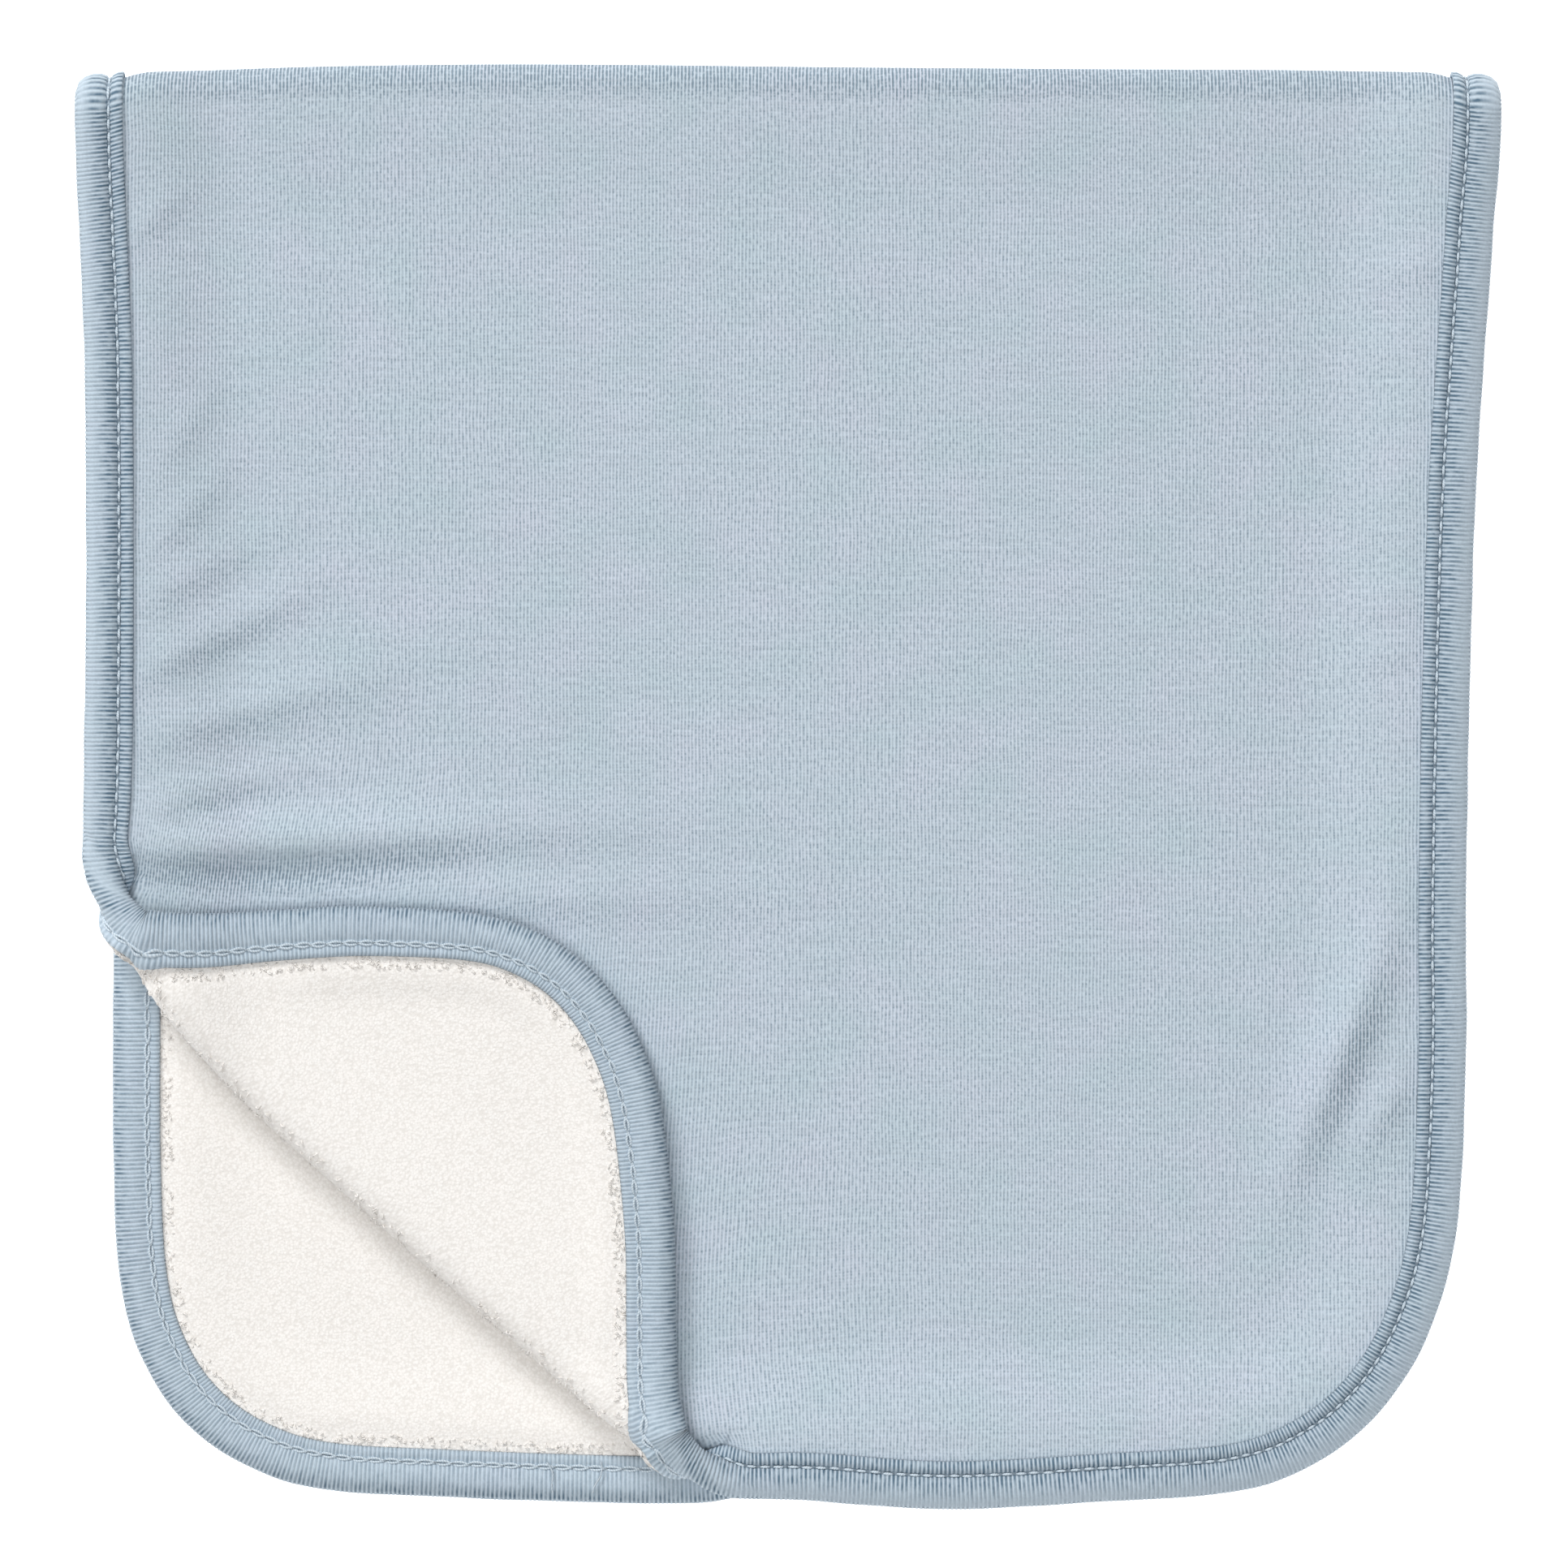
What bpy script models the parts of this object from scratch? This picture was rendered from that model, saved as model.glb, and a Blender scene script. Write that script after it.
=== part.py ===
"""Burp cloth, folded in half with its front left corner turned back.

Three pieces are sewn together: a jersey face panel, a terry back panel, and a jersey binding that
wraps the edge of both. Each is modelled on the flat cloth, and one function then folds all three.

Flat cloth: u runs across it, q along it and w through it. The jersey side is up (+w). q is 0 on the
crest of the main fold, negative on the front half and positive on the rear half.
Folded cloth: it lies on z = 0 with the main fold towards +Y and the jersey outside.
"""

import math

import bmesh
import bpy
import numpy as np
from mathutils import Matrix, Vector

MM = 0.001

# Thicknesses of the pieces and the seam gap between them, in mm
JERSEY = 1.0
TERRY = 1.8
TERRY_UNDER_BINDING = 1.0
BINDING = 1.0
SEAM_GAP = 0.4

# The binding is folded over the edge: its width, its stitch line and where its wall begins, in mm
BINDING_WIDTH = 8.5
STITCH_IN = 6.0
EDGE_GAP = 0.5
PANEL_RINGS = (2.2, 9.2, 13.5, 19, 27)
GROOVE = 0.3
PUFF = 0.35

# How far apart the solids' corners lie along the edge, and the bend in 8 mm that makes it round
STATION = 14
STATION_IN_ROUND = 7
ROUND_BEND = 0.08

# The flat outline: rows of u and q along each side, then a rounded corner, going round, in mm
FRONT_RIGHT = ((125.1, 0), (123.7, -31), (120.9, -74), (119.6, -117), (119.1, -150))
FRONT_HEM = (
    (29, -253.9), (4, -252.7), (-8, -252.2), (-17, -250.8), (-23, -248.9), (-33, -247.6), (-45, -247.9),
)
FRONT_LEFT = (
    (-121.9, -182), (-120.2, -167), (-119.8, -156), (-121.6, -148), (-123.8, -140),
    (-124.2, -131), (-123.4, -103), (-123.6, -53),
)
REAR_LEFT = ((-125.2, 0), (-122.5, 60), (-120.0, 110), (-119.1, 150))
REAR_HEM = ((-31.7, 253.3), (-16, 253.3), (-5, 252.0), (20, 250.8))
REAR_RIGHT = ((116.8, 150), (118.0, 100), (121.0, 53))

# Corners: the side's u, the hem's q, and how far the round reaches along each, in mm
FRONT_RIGHT_CORNER = (119.1, -252.6, 64, 78)
FRONT_LEFT_CORNER = (-122.8, -248.4, 60, 50)
REAR_LEFT_CORNER = (-119.0, 252.3, 59, 59)
REAR_RIGHT_CORNER = (116.5, 250.6, 60, 60)
CORNER_ROUNDNESS = 2.8
CORNER_STEPS = 6

# Main fold: the top edge, rows of u and how far it drops there, and how the front half lies, in mm
TOP_EDGE = 127.4
TOP_DROP = (
    (-125, 2.0), (-110, 1.4), (-90, 0.6), (-55, 0), (-25, 0.1), (0, 0.4), (50, 0.8), (100, 1.2), (125, 2.0),
)
FRONT_SHIFT = 127.1
DRAWN_IN = 50
FOLD_FULLNESS = 1.2

# Turned corner: a point on its crease, its direction, and rows of how far it bows out along it, in mm
CREASE_START = (-120.2, -11.2)
CREASE_ALONG = (0.7133, -0.7009)
CREASE_BOW = (
    (-20, 0), (0, 0), (11, 3.4), (26, 7.3), (40, 8.7), (76, 8.0), (110, 5.9), (142, 3.2), (157, 0), (180, 0),
)
BOW_FADE = 60
ROLL_RADIUS = 3.2
ROLL_STEPS = 6
ROLL_FULLNESS = 3.0
ROLL_FULLNESS_AT_BINDING = 1.2
ROLL_SPREAD = 12

# Where loops are cut: along the main fold, each side of the corner's roll, and in the field, in mm
FOLD_LOOPS = (-16, -9, -5.2, -3.9, -2.6, -1.3, 0, 1.3, 2.6, 3.9, 5.2, 9)
ROLL_LOOPS_BEFORE = (-22, -11)
ROLL_LOOPS_AFTER = (4, 8, 13, 19)
FIELD_ACROSS = (-75, -38, 0, 38, 75)
FIELD_ALONG = (-220, -190, -90, -60, -30, 60, 120, 180)
RIDGE_LOOPS = (-157, -149, -145, -141, -137, -132, -127, -113)
CUT_WITHIN = 0.001

# The gaps that keep the layers apart, in mm
LAYER_GAP = 0.4
BINDING_GAP = 0.4
FLAP_GAP = 0.8

# How far in from the edge the cloth starts and ends its slope down from the thick binding, in mm
EDGE_FLAT = 9
EDGE_LIFT = 27
STEP_LIFT = 17
CREST_FLAT = 4
CREST_STEP = 13
TERRY_STEP = 12

# Soft ridges of the front half, by the turned corner: centre, direction, length, width, height in mm
RIDGES = (
    {"at": (-74, -15.0), "angle": 2, "long": 62, "wide": 4.6, "high": 1.5},
    {"at": (-84, -2.5), "angle": 10, "long": 34, "wide": 5.0, "high": 0.6},
    {"at": (-92, 13), "angle": 24, "long": 28, "wide": 6.0, "high": 0.5},
    {"at": (104, -58), "angle": 55, "long": 26, "wide": 8.0, "high": 0.6},
)

JERSEY_OUT = SEAM_GAP / 2 + JERSEY
TERRY_OUT = SEAM_GAP / 2 + TERRY
BINDING_OUT = SEAM_GAP / 2 + TERRY_UNDER_BINDING + SEAM_GAP + BINDING + PUFF

# Colours from the photo, as sRGB hex
BLUE_JERSEY = "B9C6D2"
IVORY_TERRY = "F3EFEA"
BLUE_BINDING = "A9BCC9"


def smooth_step(x, low, high):
    """0 below low and 1 above high, with a smooth rise between them."""
    t = np.clip((x - low) / (high - low), 0, 1)
    return t * t * (3 - 2 * t)


def smooth_table(x, rows):
    """The value at x of a smooth curve through the rows (x, value)."""
    at = np.array(rows, float)
    slope = np.gradient(at[:, 1], at[:, 0])
    x = np.clip(x, at[0, 0], at[-1, 0])
    i = np.clip(np.searchsorted(at[:, 0], x) - 1, 0, len(at) - 2)
    step = at[i + 1, 0] - at[i, 0]
    t = (x - at[i, 0]) / step
    start = (1 + 2 * t) * (1 - t) ** 2 * at[i, 1] + t * (1 - t) ** 2 * step * slope[i]
    end = t * t * (3 - 2 * t) * at[i + 1, 1] + t * t * (t - 1) * step * slope[i + 1]
    return start + end


def corner_points(side, hem, reach_u, reach_q, towards_hem):
    """A rounded corner of the outline, from the side to the hem or the other way."""
    centre_u = side - math.copysign(reach_u, side)
    centre_q = hem - math.copysign(reach_q, hem)
    points = []
    for k in range(CORNER_STEPS + 1):
        turn = k / CORNER_STEPS * math.pi / 2
        u = centre_u + math.copysign(reach_u, side) * math.cos(turn) ** (2 / CORNER_ROUNDNESS)
        q = centre_q + math.copysign(reach_q, hem) * math.sin(turn) ** (2 / CORNER_ROUNDNESS)
        points.append((u, q))
    return points if towards_hem else points[::-1]


def flat_outline():
    """The outer edge of the flat cloth, clockwise from the main fold's right end, 1 mm or so apart."""
    rows = [*FRONT_RIGHT, *corner_points(*FRONT_RIGHT_CORNER, True), *FRONT_HEM]
    rows += [*corner_points(*FRONT_LEFT_CORNER, False), *FRONT_LEFT, *REAR_LEFT]
    rows += [*corner_points(*REAR_LEFT_CORNER, True), *REAR_HEM]
    rows += [*corner_points(*REAR_RIGHT_CORNER, False), *REAR_RIGHT]
    knots = np.array(rows, float)
    before, after, beyond = (np.roll(knots, -k, axis=0) for k in (-1, 1, 2))
    dense = []
    for a, b, c, d in zip(before, knots, after, beyond, strict=True):
        for t in np.linspace(0, 1, max(2, round(np.linalg.norm(c - b))), endpoint=False):
            half = b * 2 + (c - a) * t + (2 * a - 5 * b + 4 * c - d) * t**2 + (3 * b - a - 3 * c + d) * t**3
            dense.append(half / 2)
    return np.array(dense)


OUTLINE = flat_outline()


def edge_distance(u, q):
    """How far inside the outline each point of the flat cloth lies, 0 outside it."""
    points = np.stack([u, q], axis=1)
    start, end = OUTLINE, np.roll(OUTLINE, -1, axis=0)
    run = end - start
    best = np.full(len(points), np.inf)
    inside = np.zeros(len(points), bool)
    for a, b, d in zip(start, end, run, strict=True):
        t = np.clip((points - a) @ d / (d @ d), 0, 1)
        best = np.minimum(best, np.linalg.norm(points - a - t[:, None] * d, axis=1))
        if a[1] != b[1]:
            crosses = (a[1] > points[:, 1]) != (b[1] > points[:, 1])
            inside ^= crosses & (points[:, 0] < a[0] + (points[:, 1] - a[1]) / d[1] * d[0])
    return np.where(inside, best, 0)


def near_edge(r):
    return 1 - smooth_step(r, EDGE_FLAT, EDGE_LIFT)


def on_binding(r):
    return 1 - smooth_step(r, EDGE_FLAT, STEP_LIFT)


def ridges(x, y):
    """The height of the front half's soft ridges."""
    height = np.zeros(len(x))
    for ridge in RIDGES:
        turn = math.radians(ridge["angle"])
        along = (x - ridge["at"][0]) * math.cos(turn) + (y - ridge["at"][1]) * math.sin(turn)
        across = (y - ridge["at"][1]) * math.cos(turn) - (x - ridge["at"][0]) * math.sin(turn)
        height += ridge["high"] * np.exp(-((along / ridge["long"]) ** 2) - (across / ridge["wide"]) ** 2)
    return height


def rear_height(r):
    """The height of the rear half's middle surface."""
    return JERSEY_OUT + (BINDING_OUT - JERSEY_OUT) * near_edge(r)


def front_height(x, y, r):
    """The height of the front half's middle surface: it lies on the rear half and its binding."""
    field = JERSEY_OUT + TERRY_OUT + LAYER_GAP + TERRY_OUT
    edge = 3 * BINDING_OUT + BINDING_GAP
    r_below = edge_distance(x, FRONT_SHIFT - y)
    lift = np.maximum(near_edge(r), near_edge(r_below))
    return field + (edge - field) * lift + ridges(x, y) * smooth_step(r, EDGE_FLAT, EDGE_LIFT)


def crease_place(x, y):
    """How far along the corner's crease a place is, and how far out past it."""
    out = (CREASE_ALONG[1], -CREASE_ALONG[0])
    along = (x - CREASE_START[0]) * CREASE_ALONG[0] + (y - CREASE_START[1]) * CREASE_ALONG[1]
    past = (x - CREASE_START[0]) * out[0] + (y - CREASE_START[1]) * out[1]
    return along, past


def bowed(along, past):
    """How far the cloth behind the crease is pulled out to the crease's bow."""
    return smooth_table(along, CREASE_BOW) * smooth_step(past, -BOW_FADE, 0)


def flap_height(x, y, r, away):
    """The height of the turned corner's middle surface, which lies on the front half."""
    along, past = crease_place(x, y)
    unbowed = past
    for _ in range(8):
        unbowed = past - bowed(along, unbowed)
    moved = unbowed - past
    flat_x, flat_y = x + moved * CREASE_ALONG[1], y - moved * CREASE_ALONG[0]
    r_below = edge_distance(flat_x, flat_y - FRONT_SHIFT)
    step = BINDING_OUT - JERSEY_OUT
    rise = 2 * JERSEY_OUT + FLAP_GAP + step * (on_binding(r_below) + on_binding(r))
    full = ROLL_FULLNESS + (ROLL_FULLNESS_AT_BINDING - ROLL_FULLNESS) * on_binding(r)
    return front_height(x, y, r_below) + rise + full * np.exp(-((away / ROLL_SPREAD) ** 2))


def fold_over(u, q, w, r):
    """The main fold, half a turn about a line along X: places, and how far round the turn they are."""
    thick = JERSEY_OUT + (BINDING_OUT - JERSEY_OUT) * (1 - smooth_step(r, CREST_FLAT, CREST_STEP))
    low, high = rear_height(r), front_height(u, np.full(len(u), TOP_EDGE), r) + FOLD_FULLNESS
    radius = (high - low) / 2
    quarter = radius * math.pi / 2
    centre = TOP_EDGE - smooth_table(u, TOP_DROP) - radius - thick
    beyond = np.maximum(np.abs(q) - quarter, 0)
    turn = np.clip(q / radius, -math.pi / 2, math.pi / 2)
    drawn = (centre + quarter - FRONT_SHIFT) * smooth_step(beyond, 0, DRAWN_IN)
    y = centre + (radius + w) * np.cos(turn) - beyond - drawn
    settle = 1 - smooth_step(beyond, 0, DRAWN_IN / 2)
    return y, turn, low, settle


def fold(points):
    """Where points of the flat cloth (u, q, w) lie once it is folded, in mm."""
    u, q, w = points.T
    r = edge_distance(u, q)
    y, turn, low, settle = fold_over(u, q, w, r)

    # The turned corner, half a turn about its crease, and the bow of the cloth behind it
    along, past = crease_place(u, q + FRONT_SHIFT)
    past = np.where(q < 0, past, -np.inf)
    turned = past > 0
    back = np.maximum(past - ROLL_RADIUS * math.pi, 0)
    angle = np.clip(past / ROLL_RADIUS, 0, math.pi)
    out = bowed(along, past)
    x = np.where(turned, CREASE_START[0] + along * CREASE_ALONG[0] + (out - back) * CREASE_ALONG[1], u)
    y = np.where(turned, CREASE_START[1] + along * CREASE_ALONG[1] - (out - back) * CREASE_ALONG[0], y)
    x = np.where(turned, x, x + out * CREASE_ALONG[1])
    y = np.where(turned, y, y - out * CREASE_ALONG[0])

    # Heights of the three layers, joined by the two half turns
    on_front = front_height(x, np.where(q < 0, y, TOP_EDGE), r) + FOLD_FULLNESS * settle
    on_flap = flap_height(x, y, r, back)
    z = low + (on_front - low) * (1 - np.sin(turn)) / 2 - w * np.sin(turn)
    z = np.where(turned, on_front + (on_flap - on_front) * (1 - np.cos(angle)) / 2 + w * np.cos(angle), z)
    reach = np.where(turned, (ROLL_RADIUS - w) * np.sin(angle), 0)
    return np.stack([x + reach * CREASE_ALONG[1], y - reach * CREASE_ALONG[0], z], axis=1)


def jersey_thickness(r):
    return np.full(len(r), JERSEY)


def jersey_lower(r):
    return np.full(len(r), SEAM_GAP / 2)


def terry_thickness(r):
    """How thick the terry is: the binding presses it flat."""
    return TERRY_UNDER_BINDING + (TERRY - TERRY_UNDER_BINDING) * smooth_step(r, EDGE_FLAT, TERRY_STEP)


def terry_lower(r):
    return -SEAM_GAP / 2 - terry_thickness(r)


def stations():
    """Indices of the outline's points where the solids have corners, closer where it turns."""
    ahead = np.roll(OUTLINE, -4, axis=0) - OUTLINE
    heading = np.unwrap(np.arctan2(ahead[:, 1], ahead[:, 0]))
    bend = np.abs(np.roll(heading, -4) - np.roll(heading, 4))
    bend = np.minimum(bend, 2 * math.pi - bend)
    length = np.linalg.norm(np.roll(OUTLINE, -1, axis=0) - OUTLINE, axis=1)
    chosen, walked = [0], 0.0
    for i in range(1, len(OUTLINE)):
        walked += length[i - 1]
        if walked >= (STATION_IN_ROUND if bend[i] > ROUND_BEND else STATION):
            chosen.append(i)
            walked = 0.0
    return chosen


def inset_outline(indices, distance):
    """Points of the outline, moved inwards by a distance."""
    ahead = np.roll(OUTLINE, -3, axis=0) - np.roll(OUTLINE, 3, axis=0)
    ahead /= np.linalg.norm(ahead, axis=1)[:, None]
    inwards = np.stack([ahead[:, 1], -ahead[:, 0]], axis=1)
    return OUTLINE[indices] + inwards[indices] * distance


def cut_loops(piece, faces, at, normal):
    """Cuts an edge loop into some faces of a flat piece, where a plane crosses them."""
    edges = {e for f in faces for e in f.edges}
    verts = {v for e in edges for v in e.verts}
    shape = [*verts, *edges, *faces]
    bmesh.ops.bisect_plane(piece, geom=shape, dist=CUT_WITHIN, plane_co=at, plane_no=normal)


def front_faces(piece):
    return [f for f in piece.faces if f.calc_center_median().y < 0]


def field_faces(piece):
    """The faces inside a panel's innermost ring."""
    centres = np.array([f.calc_center_median()[:2] for f in piece.faces])
    inside = edge_distance(*centres.T) > PANEL_RINGS[-1]
    return [f for f, is_in in zip(piece.faces, inside, strict=True) if is_in]


def cut_bends(piece):
    """Cuts loops where the flat cloth bends: along the main fold, and along the corner's crease."""
    for q in FOLD_LOOPS:
        cut_loops(piece, piece.faces[:], (0, q, 0), (0, 1, 0))
    out = (CREASE_ALONG[1], -CREASE_ALONG[0], 0)
    half_turn = ROLL_RADIUS * math.pi
    in_roll = [half_turn * k / ROLL_STEPS for k in range(ROLL_STEPS + 1)]
    after = [half_turn + s for s in ROLL_LOOPS_AFTER]
    for s in [*ROLL_LOOPS_BEFORE, *in_roll, *after]:
        at = (CREASE_START[0] + s * out[0], CREASE_START[1] - FRONT_SHIFT + s * out[1], 0)
        cut_loops(piece, front_faces(piece), at, out)


def cut_field(piece):
    """Cuts a panel's field into cells, closer together where the front half has its ridges."""
    for u in FIELD_ACROSS:
        cut_loops(piece, field_faces(piece), (u, 0, 0), (1, 0, 0))
    for q in FIELD_ALONG + RIDGE_LOOPS:
        cut_loops(piece, field_faces(piece), (0, q, 0), (0, 1, 0))


def fold_piece(piece):
    """Folds a flat piece and brings it to metres."""
    folded = fold(np.array([v.co for v in piece.verts], float))
    for vert, place in zip(piece.verts, folded, strict=True):
        vert.co = Vector(place) * MM


def panel_sheet(rings):
    """A flat panel as a sheet: rings that follow the edge round an inner field."""
    sheet = bmesh.new()
    indices = stations()
    loops = []
    for inset in rings:
        loops.append([sheet.verts.new((u, q, 0)) for u, q in inset_outline(indices, inset)])
    for outer, inner in zip(loops, loops[1:], strict=False):
        for i in range(len(outer)):
            j = (i + 1) % len(outer)
            sheet.faces.new((outer[j], outer[i], inner[i], inner[j]))
    sheet.faces.new(loops[-1][::-1])
    return sheet


def add_object(name, shape, material, collection):
    bmesh.ops.recalc_face_normals(shape, faces=shape.faces[:])
    mesh = bpy.data.meshes.new(name)
    shape.to_mesh(mesh)
    shape.free()
    mesh.materials.append(material)
    mesh.shade_smooth()
    piece = bpy.data.objects.new(name, mesh)
    collection.objects.link(piece)
    return piece


def make_panel(name, thickness, lower, material, collection):
    """A panel: a sheet with its lower face at w = lower(r), made as thick as thickness(r), then folded."""
    slab = panel_sheet(PANEL_RINGS)
    cut_field(slab)
    cut_bends(slab)
    bmesh.ops.triangulate(slab, faces=slab.faces[:])
    r = edge_distance(*np.array([v.co[:2] for v in slab.verts]).T)
    for vert, w in zip(slab.verts, lower(r), strict=True):
        vert.co.z = w
    bmesh.ops.recalc_face_normals(slab, faces=slab.faces[:])
    raised = bmesh.ops.extrude_face_region(slab, geom=slab.faces[:])["geom"]
    top = [part for part in raised if isinstance(part, bmesh.types.BMVert)]
    r = edge_distance(*np.array([v.co[:2] for v in top]).T)
    for vert, thick in zip(top, thickness(r), strict=True):
        vert.co.z += thick
    fold_piece(slab)
    return add_object(name, slab, material, collection)


def binding_section():
    """The binding's cross-section round the edge: how far in from the edge, and the height w."""
    wall = SEAM_GAP / 2 + TERRY_UNDER_BINDING + SEAM_GAP
    outer = [
        (BINDING_WIDTH, wall),
        (BINDING_WIDTH - 0.3, wall + BINDING * 0.9),
        (STITCH_IN, wall + BINDING - GROOVE),
        (STITCH_IN - 1.5, wall + BINDING + PUFF),
        (STITCH_IN - 3.4, wall + BINDING + PUFF * 0.8),
        (0.8, wall + BINDING * 0.2),
        (0.0, wall * 0.4),
    ]
    inner = [(PANEL_RINGS[0] - EDGE_GAP, wall)]
    below = [(inset, -w) for inset, w in reversed(outer)]
    inside = [(inset, -w) for inset, w in reversed(inner)]
    return outer + below + inside + inner


def make_binding(name, material, collection):
    """The binding: its section carried round the flat outline, then folded."""
    tape = bmesh.new()
    indices = stations()
    rings = []
    for inset, w in binding_section():
        rings.append([tape.verts.new((u, q, w)) for u, q in inset_outline(indices, inset)])
    for ring, after in zip(rings, rings[1:] + rings[:1], strict=True):
        for i in range(len(ring)):
            j = (i + 1) % len(ring)
            tape.faces.new((ring[i], ring[j], after[j], after[i]))
    cut_bends(tape)
    bmesh.ops.triangulate(tape, faces=tape.faces[:])
    fold_piece(tape)
    return add_object(name, tape, material, collection)


def linear(hex_colour):
    """An sRGB hex colour as linear RGBA."""
    shares = [int(hex_colour[i : i + 2], 16) / 255 for i in (0, 2, 4)]
    return [c / 12.92 if c <= 0.04045 else ((c + 0.055) / 1.055) ** 2.4 for c in shares] + [1.0]


def cloth_material(name, hex_colour, roughness):
    material = bpy.data.materials.new(name)
    material.use_nodes = True
    shader = material.node_tree.nodes["Principled BSDF"]
    shader.inputs["Base Color"].default_value = linear(hex_colour)
    shader.inputs["Roughness"].default_value = roughness
    shader.inputs["Metallic"].default_value = 0.0
    return material


def centre_on_origin(pieces):
    """Moves the folded cloth's box so that the origin is at the middle of its underside."""
    corners = np.array([v.co for piece in pieces for v in piece.data.vertices])
    low, high = corners.min(axis=0), corners.max(axis=0)
    for piece in pieces:
        piece.data.transform(Matrix.Translation((-(low[0] + high[0]) / 2, -(low[1] + high[1]) / 2, -low[2])))


def clear_scene():
    for old in list(bpy.data.objects):
        bpy.data.objects.remove(old)


def main():
    clear_scene()
    cloth = bpy.data.collections.new("burp_cloth")
    bpy.context.scene.collection.children.link(cloth)
    jersey = cloth_material("knitted_jersey", BLUE_JERSEY, 0.85)
    terry = cloth_material("looped_terry", IVORY_TERRY, 0.95)
    binding = cloth_material("jersey_binding", BLUE_BINDING, 0.8)
    pieces = [
        make_panel("jersey_panel", jersey_thickness, jersey_lower, jersey, cloth),
        make_panel("terry_panel", terry_thickness, terry_lower, terry, cloth),
        make_binding("edge_binding", binding, cloth),
    ]
    centre_on_origin(pieces)


main()
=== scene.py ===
"""Looks of the folded burp cloth: its knitted jersey, looped terry, ribbed binding and sewing.

Each piece is made on the flat cloth, where u runs across it, q along it and w through it, in mm. The
jersey side is +w, and q is 0 on the crest of the main fold. One function then folds every piece: the
main fold towards +Y, the jersey outside, one front corner turned back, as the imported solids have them,
and the tape rolling over at both ends of that corner's crease.
"""

import math

import bmesh
import bpy
import numpy as np
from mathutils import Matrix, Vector

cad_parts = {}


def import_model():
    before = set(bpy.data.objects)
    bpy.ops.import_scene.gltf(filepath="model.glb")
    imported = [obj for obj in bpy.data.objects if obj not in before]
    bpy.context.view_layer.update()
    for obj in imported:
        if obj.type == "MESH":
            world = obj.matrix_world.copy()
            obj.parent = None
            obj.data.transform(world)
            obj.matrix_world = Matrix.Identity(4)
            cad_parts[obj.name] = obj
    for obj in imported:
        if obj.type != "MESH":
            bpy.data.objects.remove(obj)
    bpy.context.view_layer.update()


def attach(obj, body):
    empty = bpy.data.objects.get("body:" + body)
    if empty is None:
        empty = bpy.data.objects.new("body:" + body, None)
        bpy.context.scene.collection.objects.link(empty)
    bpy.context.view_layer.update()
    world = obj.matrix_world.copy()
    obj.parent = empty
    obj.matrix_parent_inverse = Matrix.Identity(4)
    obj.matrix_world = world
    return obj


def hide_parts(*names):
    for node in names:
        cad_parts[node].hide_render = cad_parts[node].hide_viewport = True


MM = 0.001

# How far the solids' box was moved to stand on the origin, in mm
CENTRING = (0.04, -0.37)

# Thicknesses of the pieces, the seam gap between them, how far in from the edge the sewing runs, and
# how much the tape puffs up, in mm
JERSEY = 1.0
TERRY = 1.8
TERRY_UNDER_BINDING = 1.0
BINDING = 1.0
SEAM_GAP = 0.4
STITCH_IN = 6.0
PUFF = 0.35

# The flat outline: rows of u and q along each side, going round, in mm
FRONT_RIGHT = ((125.1, 0), (123.7, -31), (120.9, -74), (119.6, -117), (119.1, -150))
FRONT_HEM = (
    (29, -253.9), (4, -252.7), (-8, -252.2), (-17, -250.8), (-23, -248.9), (-33, -247.6), (-45, -247.9),
)
FRONT_LEFT = (
    (-121.9, -182), (-120.2, -167), (-119.8, -156), (-121.6, -148), (-123.8, -140),
    (-124.2, -131), (-123.4, -103), (-123.6, -53),
)
REAR_LEFT = ((-125.2, 0), (-122.5, 60), (-120.0, 110), (-119.1, 150))
REAR_HEM = ((-31.7, 253.3), (-16, 253.3), (-5, 252.0), (20, 250.8))
REAR_RIGHT = ((116.8, 150), (118.0, 100), (121.0, 53))

# Corners: the side's u, the hem's q, and how far the round reaches along each, in mm
FRONT_RIGHT_CORNER = (119.1, -252.6, 64, 78)
FRONT_LEFT_CORNER = (-122.8, -248.4, 60, 50)
REAR_LEFT_CORNER = (-119.0, 252.3, 59, 59)
REAR_RIGHT_CORNER = (116.5, 250.6, 60, 60)
CORNER_ROUNDNESS = 2.8
CORNER_STEPS = 6

# Main fold: the top edge, rows of u and how far it drops there, and how the front half lies, in mm
TOP_EDGE = 127.4
TOP_DROP = (
    (-125, 2.0), (-110, 1.4), (-90, 0.6), (-55, 0), (-25, 0.1), (0, 0.4), (50, 0.8), (100, 1.2), (125, 2.0),
)
FRONT_SHIFT = 127.1
DRAWN_IN = 50
FOLD_FULLNESS = 1.2

# Turned corner: a point on its crease, its direction, and rows of how far it bows out along it, in mm
CREASE_START = (-120.2, -11.2)
CREASE_ALONG = (0.7133, -0.7009)
CREASE_BOW = (
    (-20, 0), (0, 0), (11, 3.4), (26, 7.3), (40, 8.7), (76, 8.0), (110, 5.9), (142, 3.2), (157, 0), (180, 0),
)
BOW_FADE = 60
ROLL_RADIUS = 3.2
ROLL_FULLNESS = 3.0
ROLL_FULLNESS_AT_BINDING = 1.2
ROLL_SPREAD = 12

# The binding rolls over at both ends of the crease: how much of its length that takes before and after
# the crease, how it blends in, its middle's inset and dip, the insets where it fades out, and how far
# from its middle places are looked at, in mm
TWIST_BEFORE = 4
TWIST_AFTER = 19
TWIST_BLEND = 4
TWIST_MIDDLE = 4.25
TWIST_DIP = 1.5
TWIST_FADE = (8.8, 12.5)
TWIST_WINDOW = 34

# The shares of that length between which the tape makes its half turn
TWIST_TURN = (0.08, 0.92)

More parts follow.
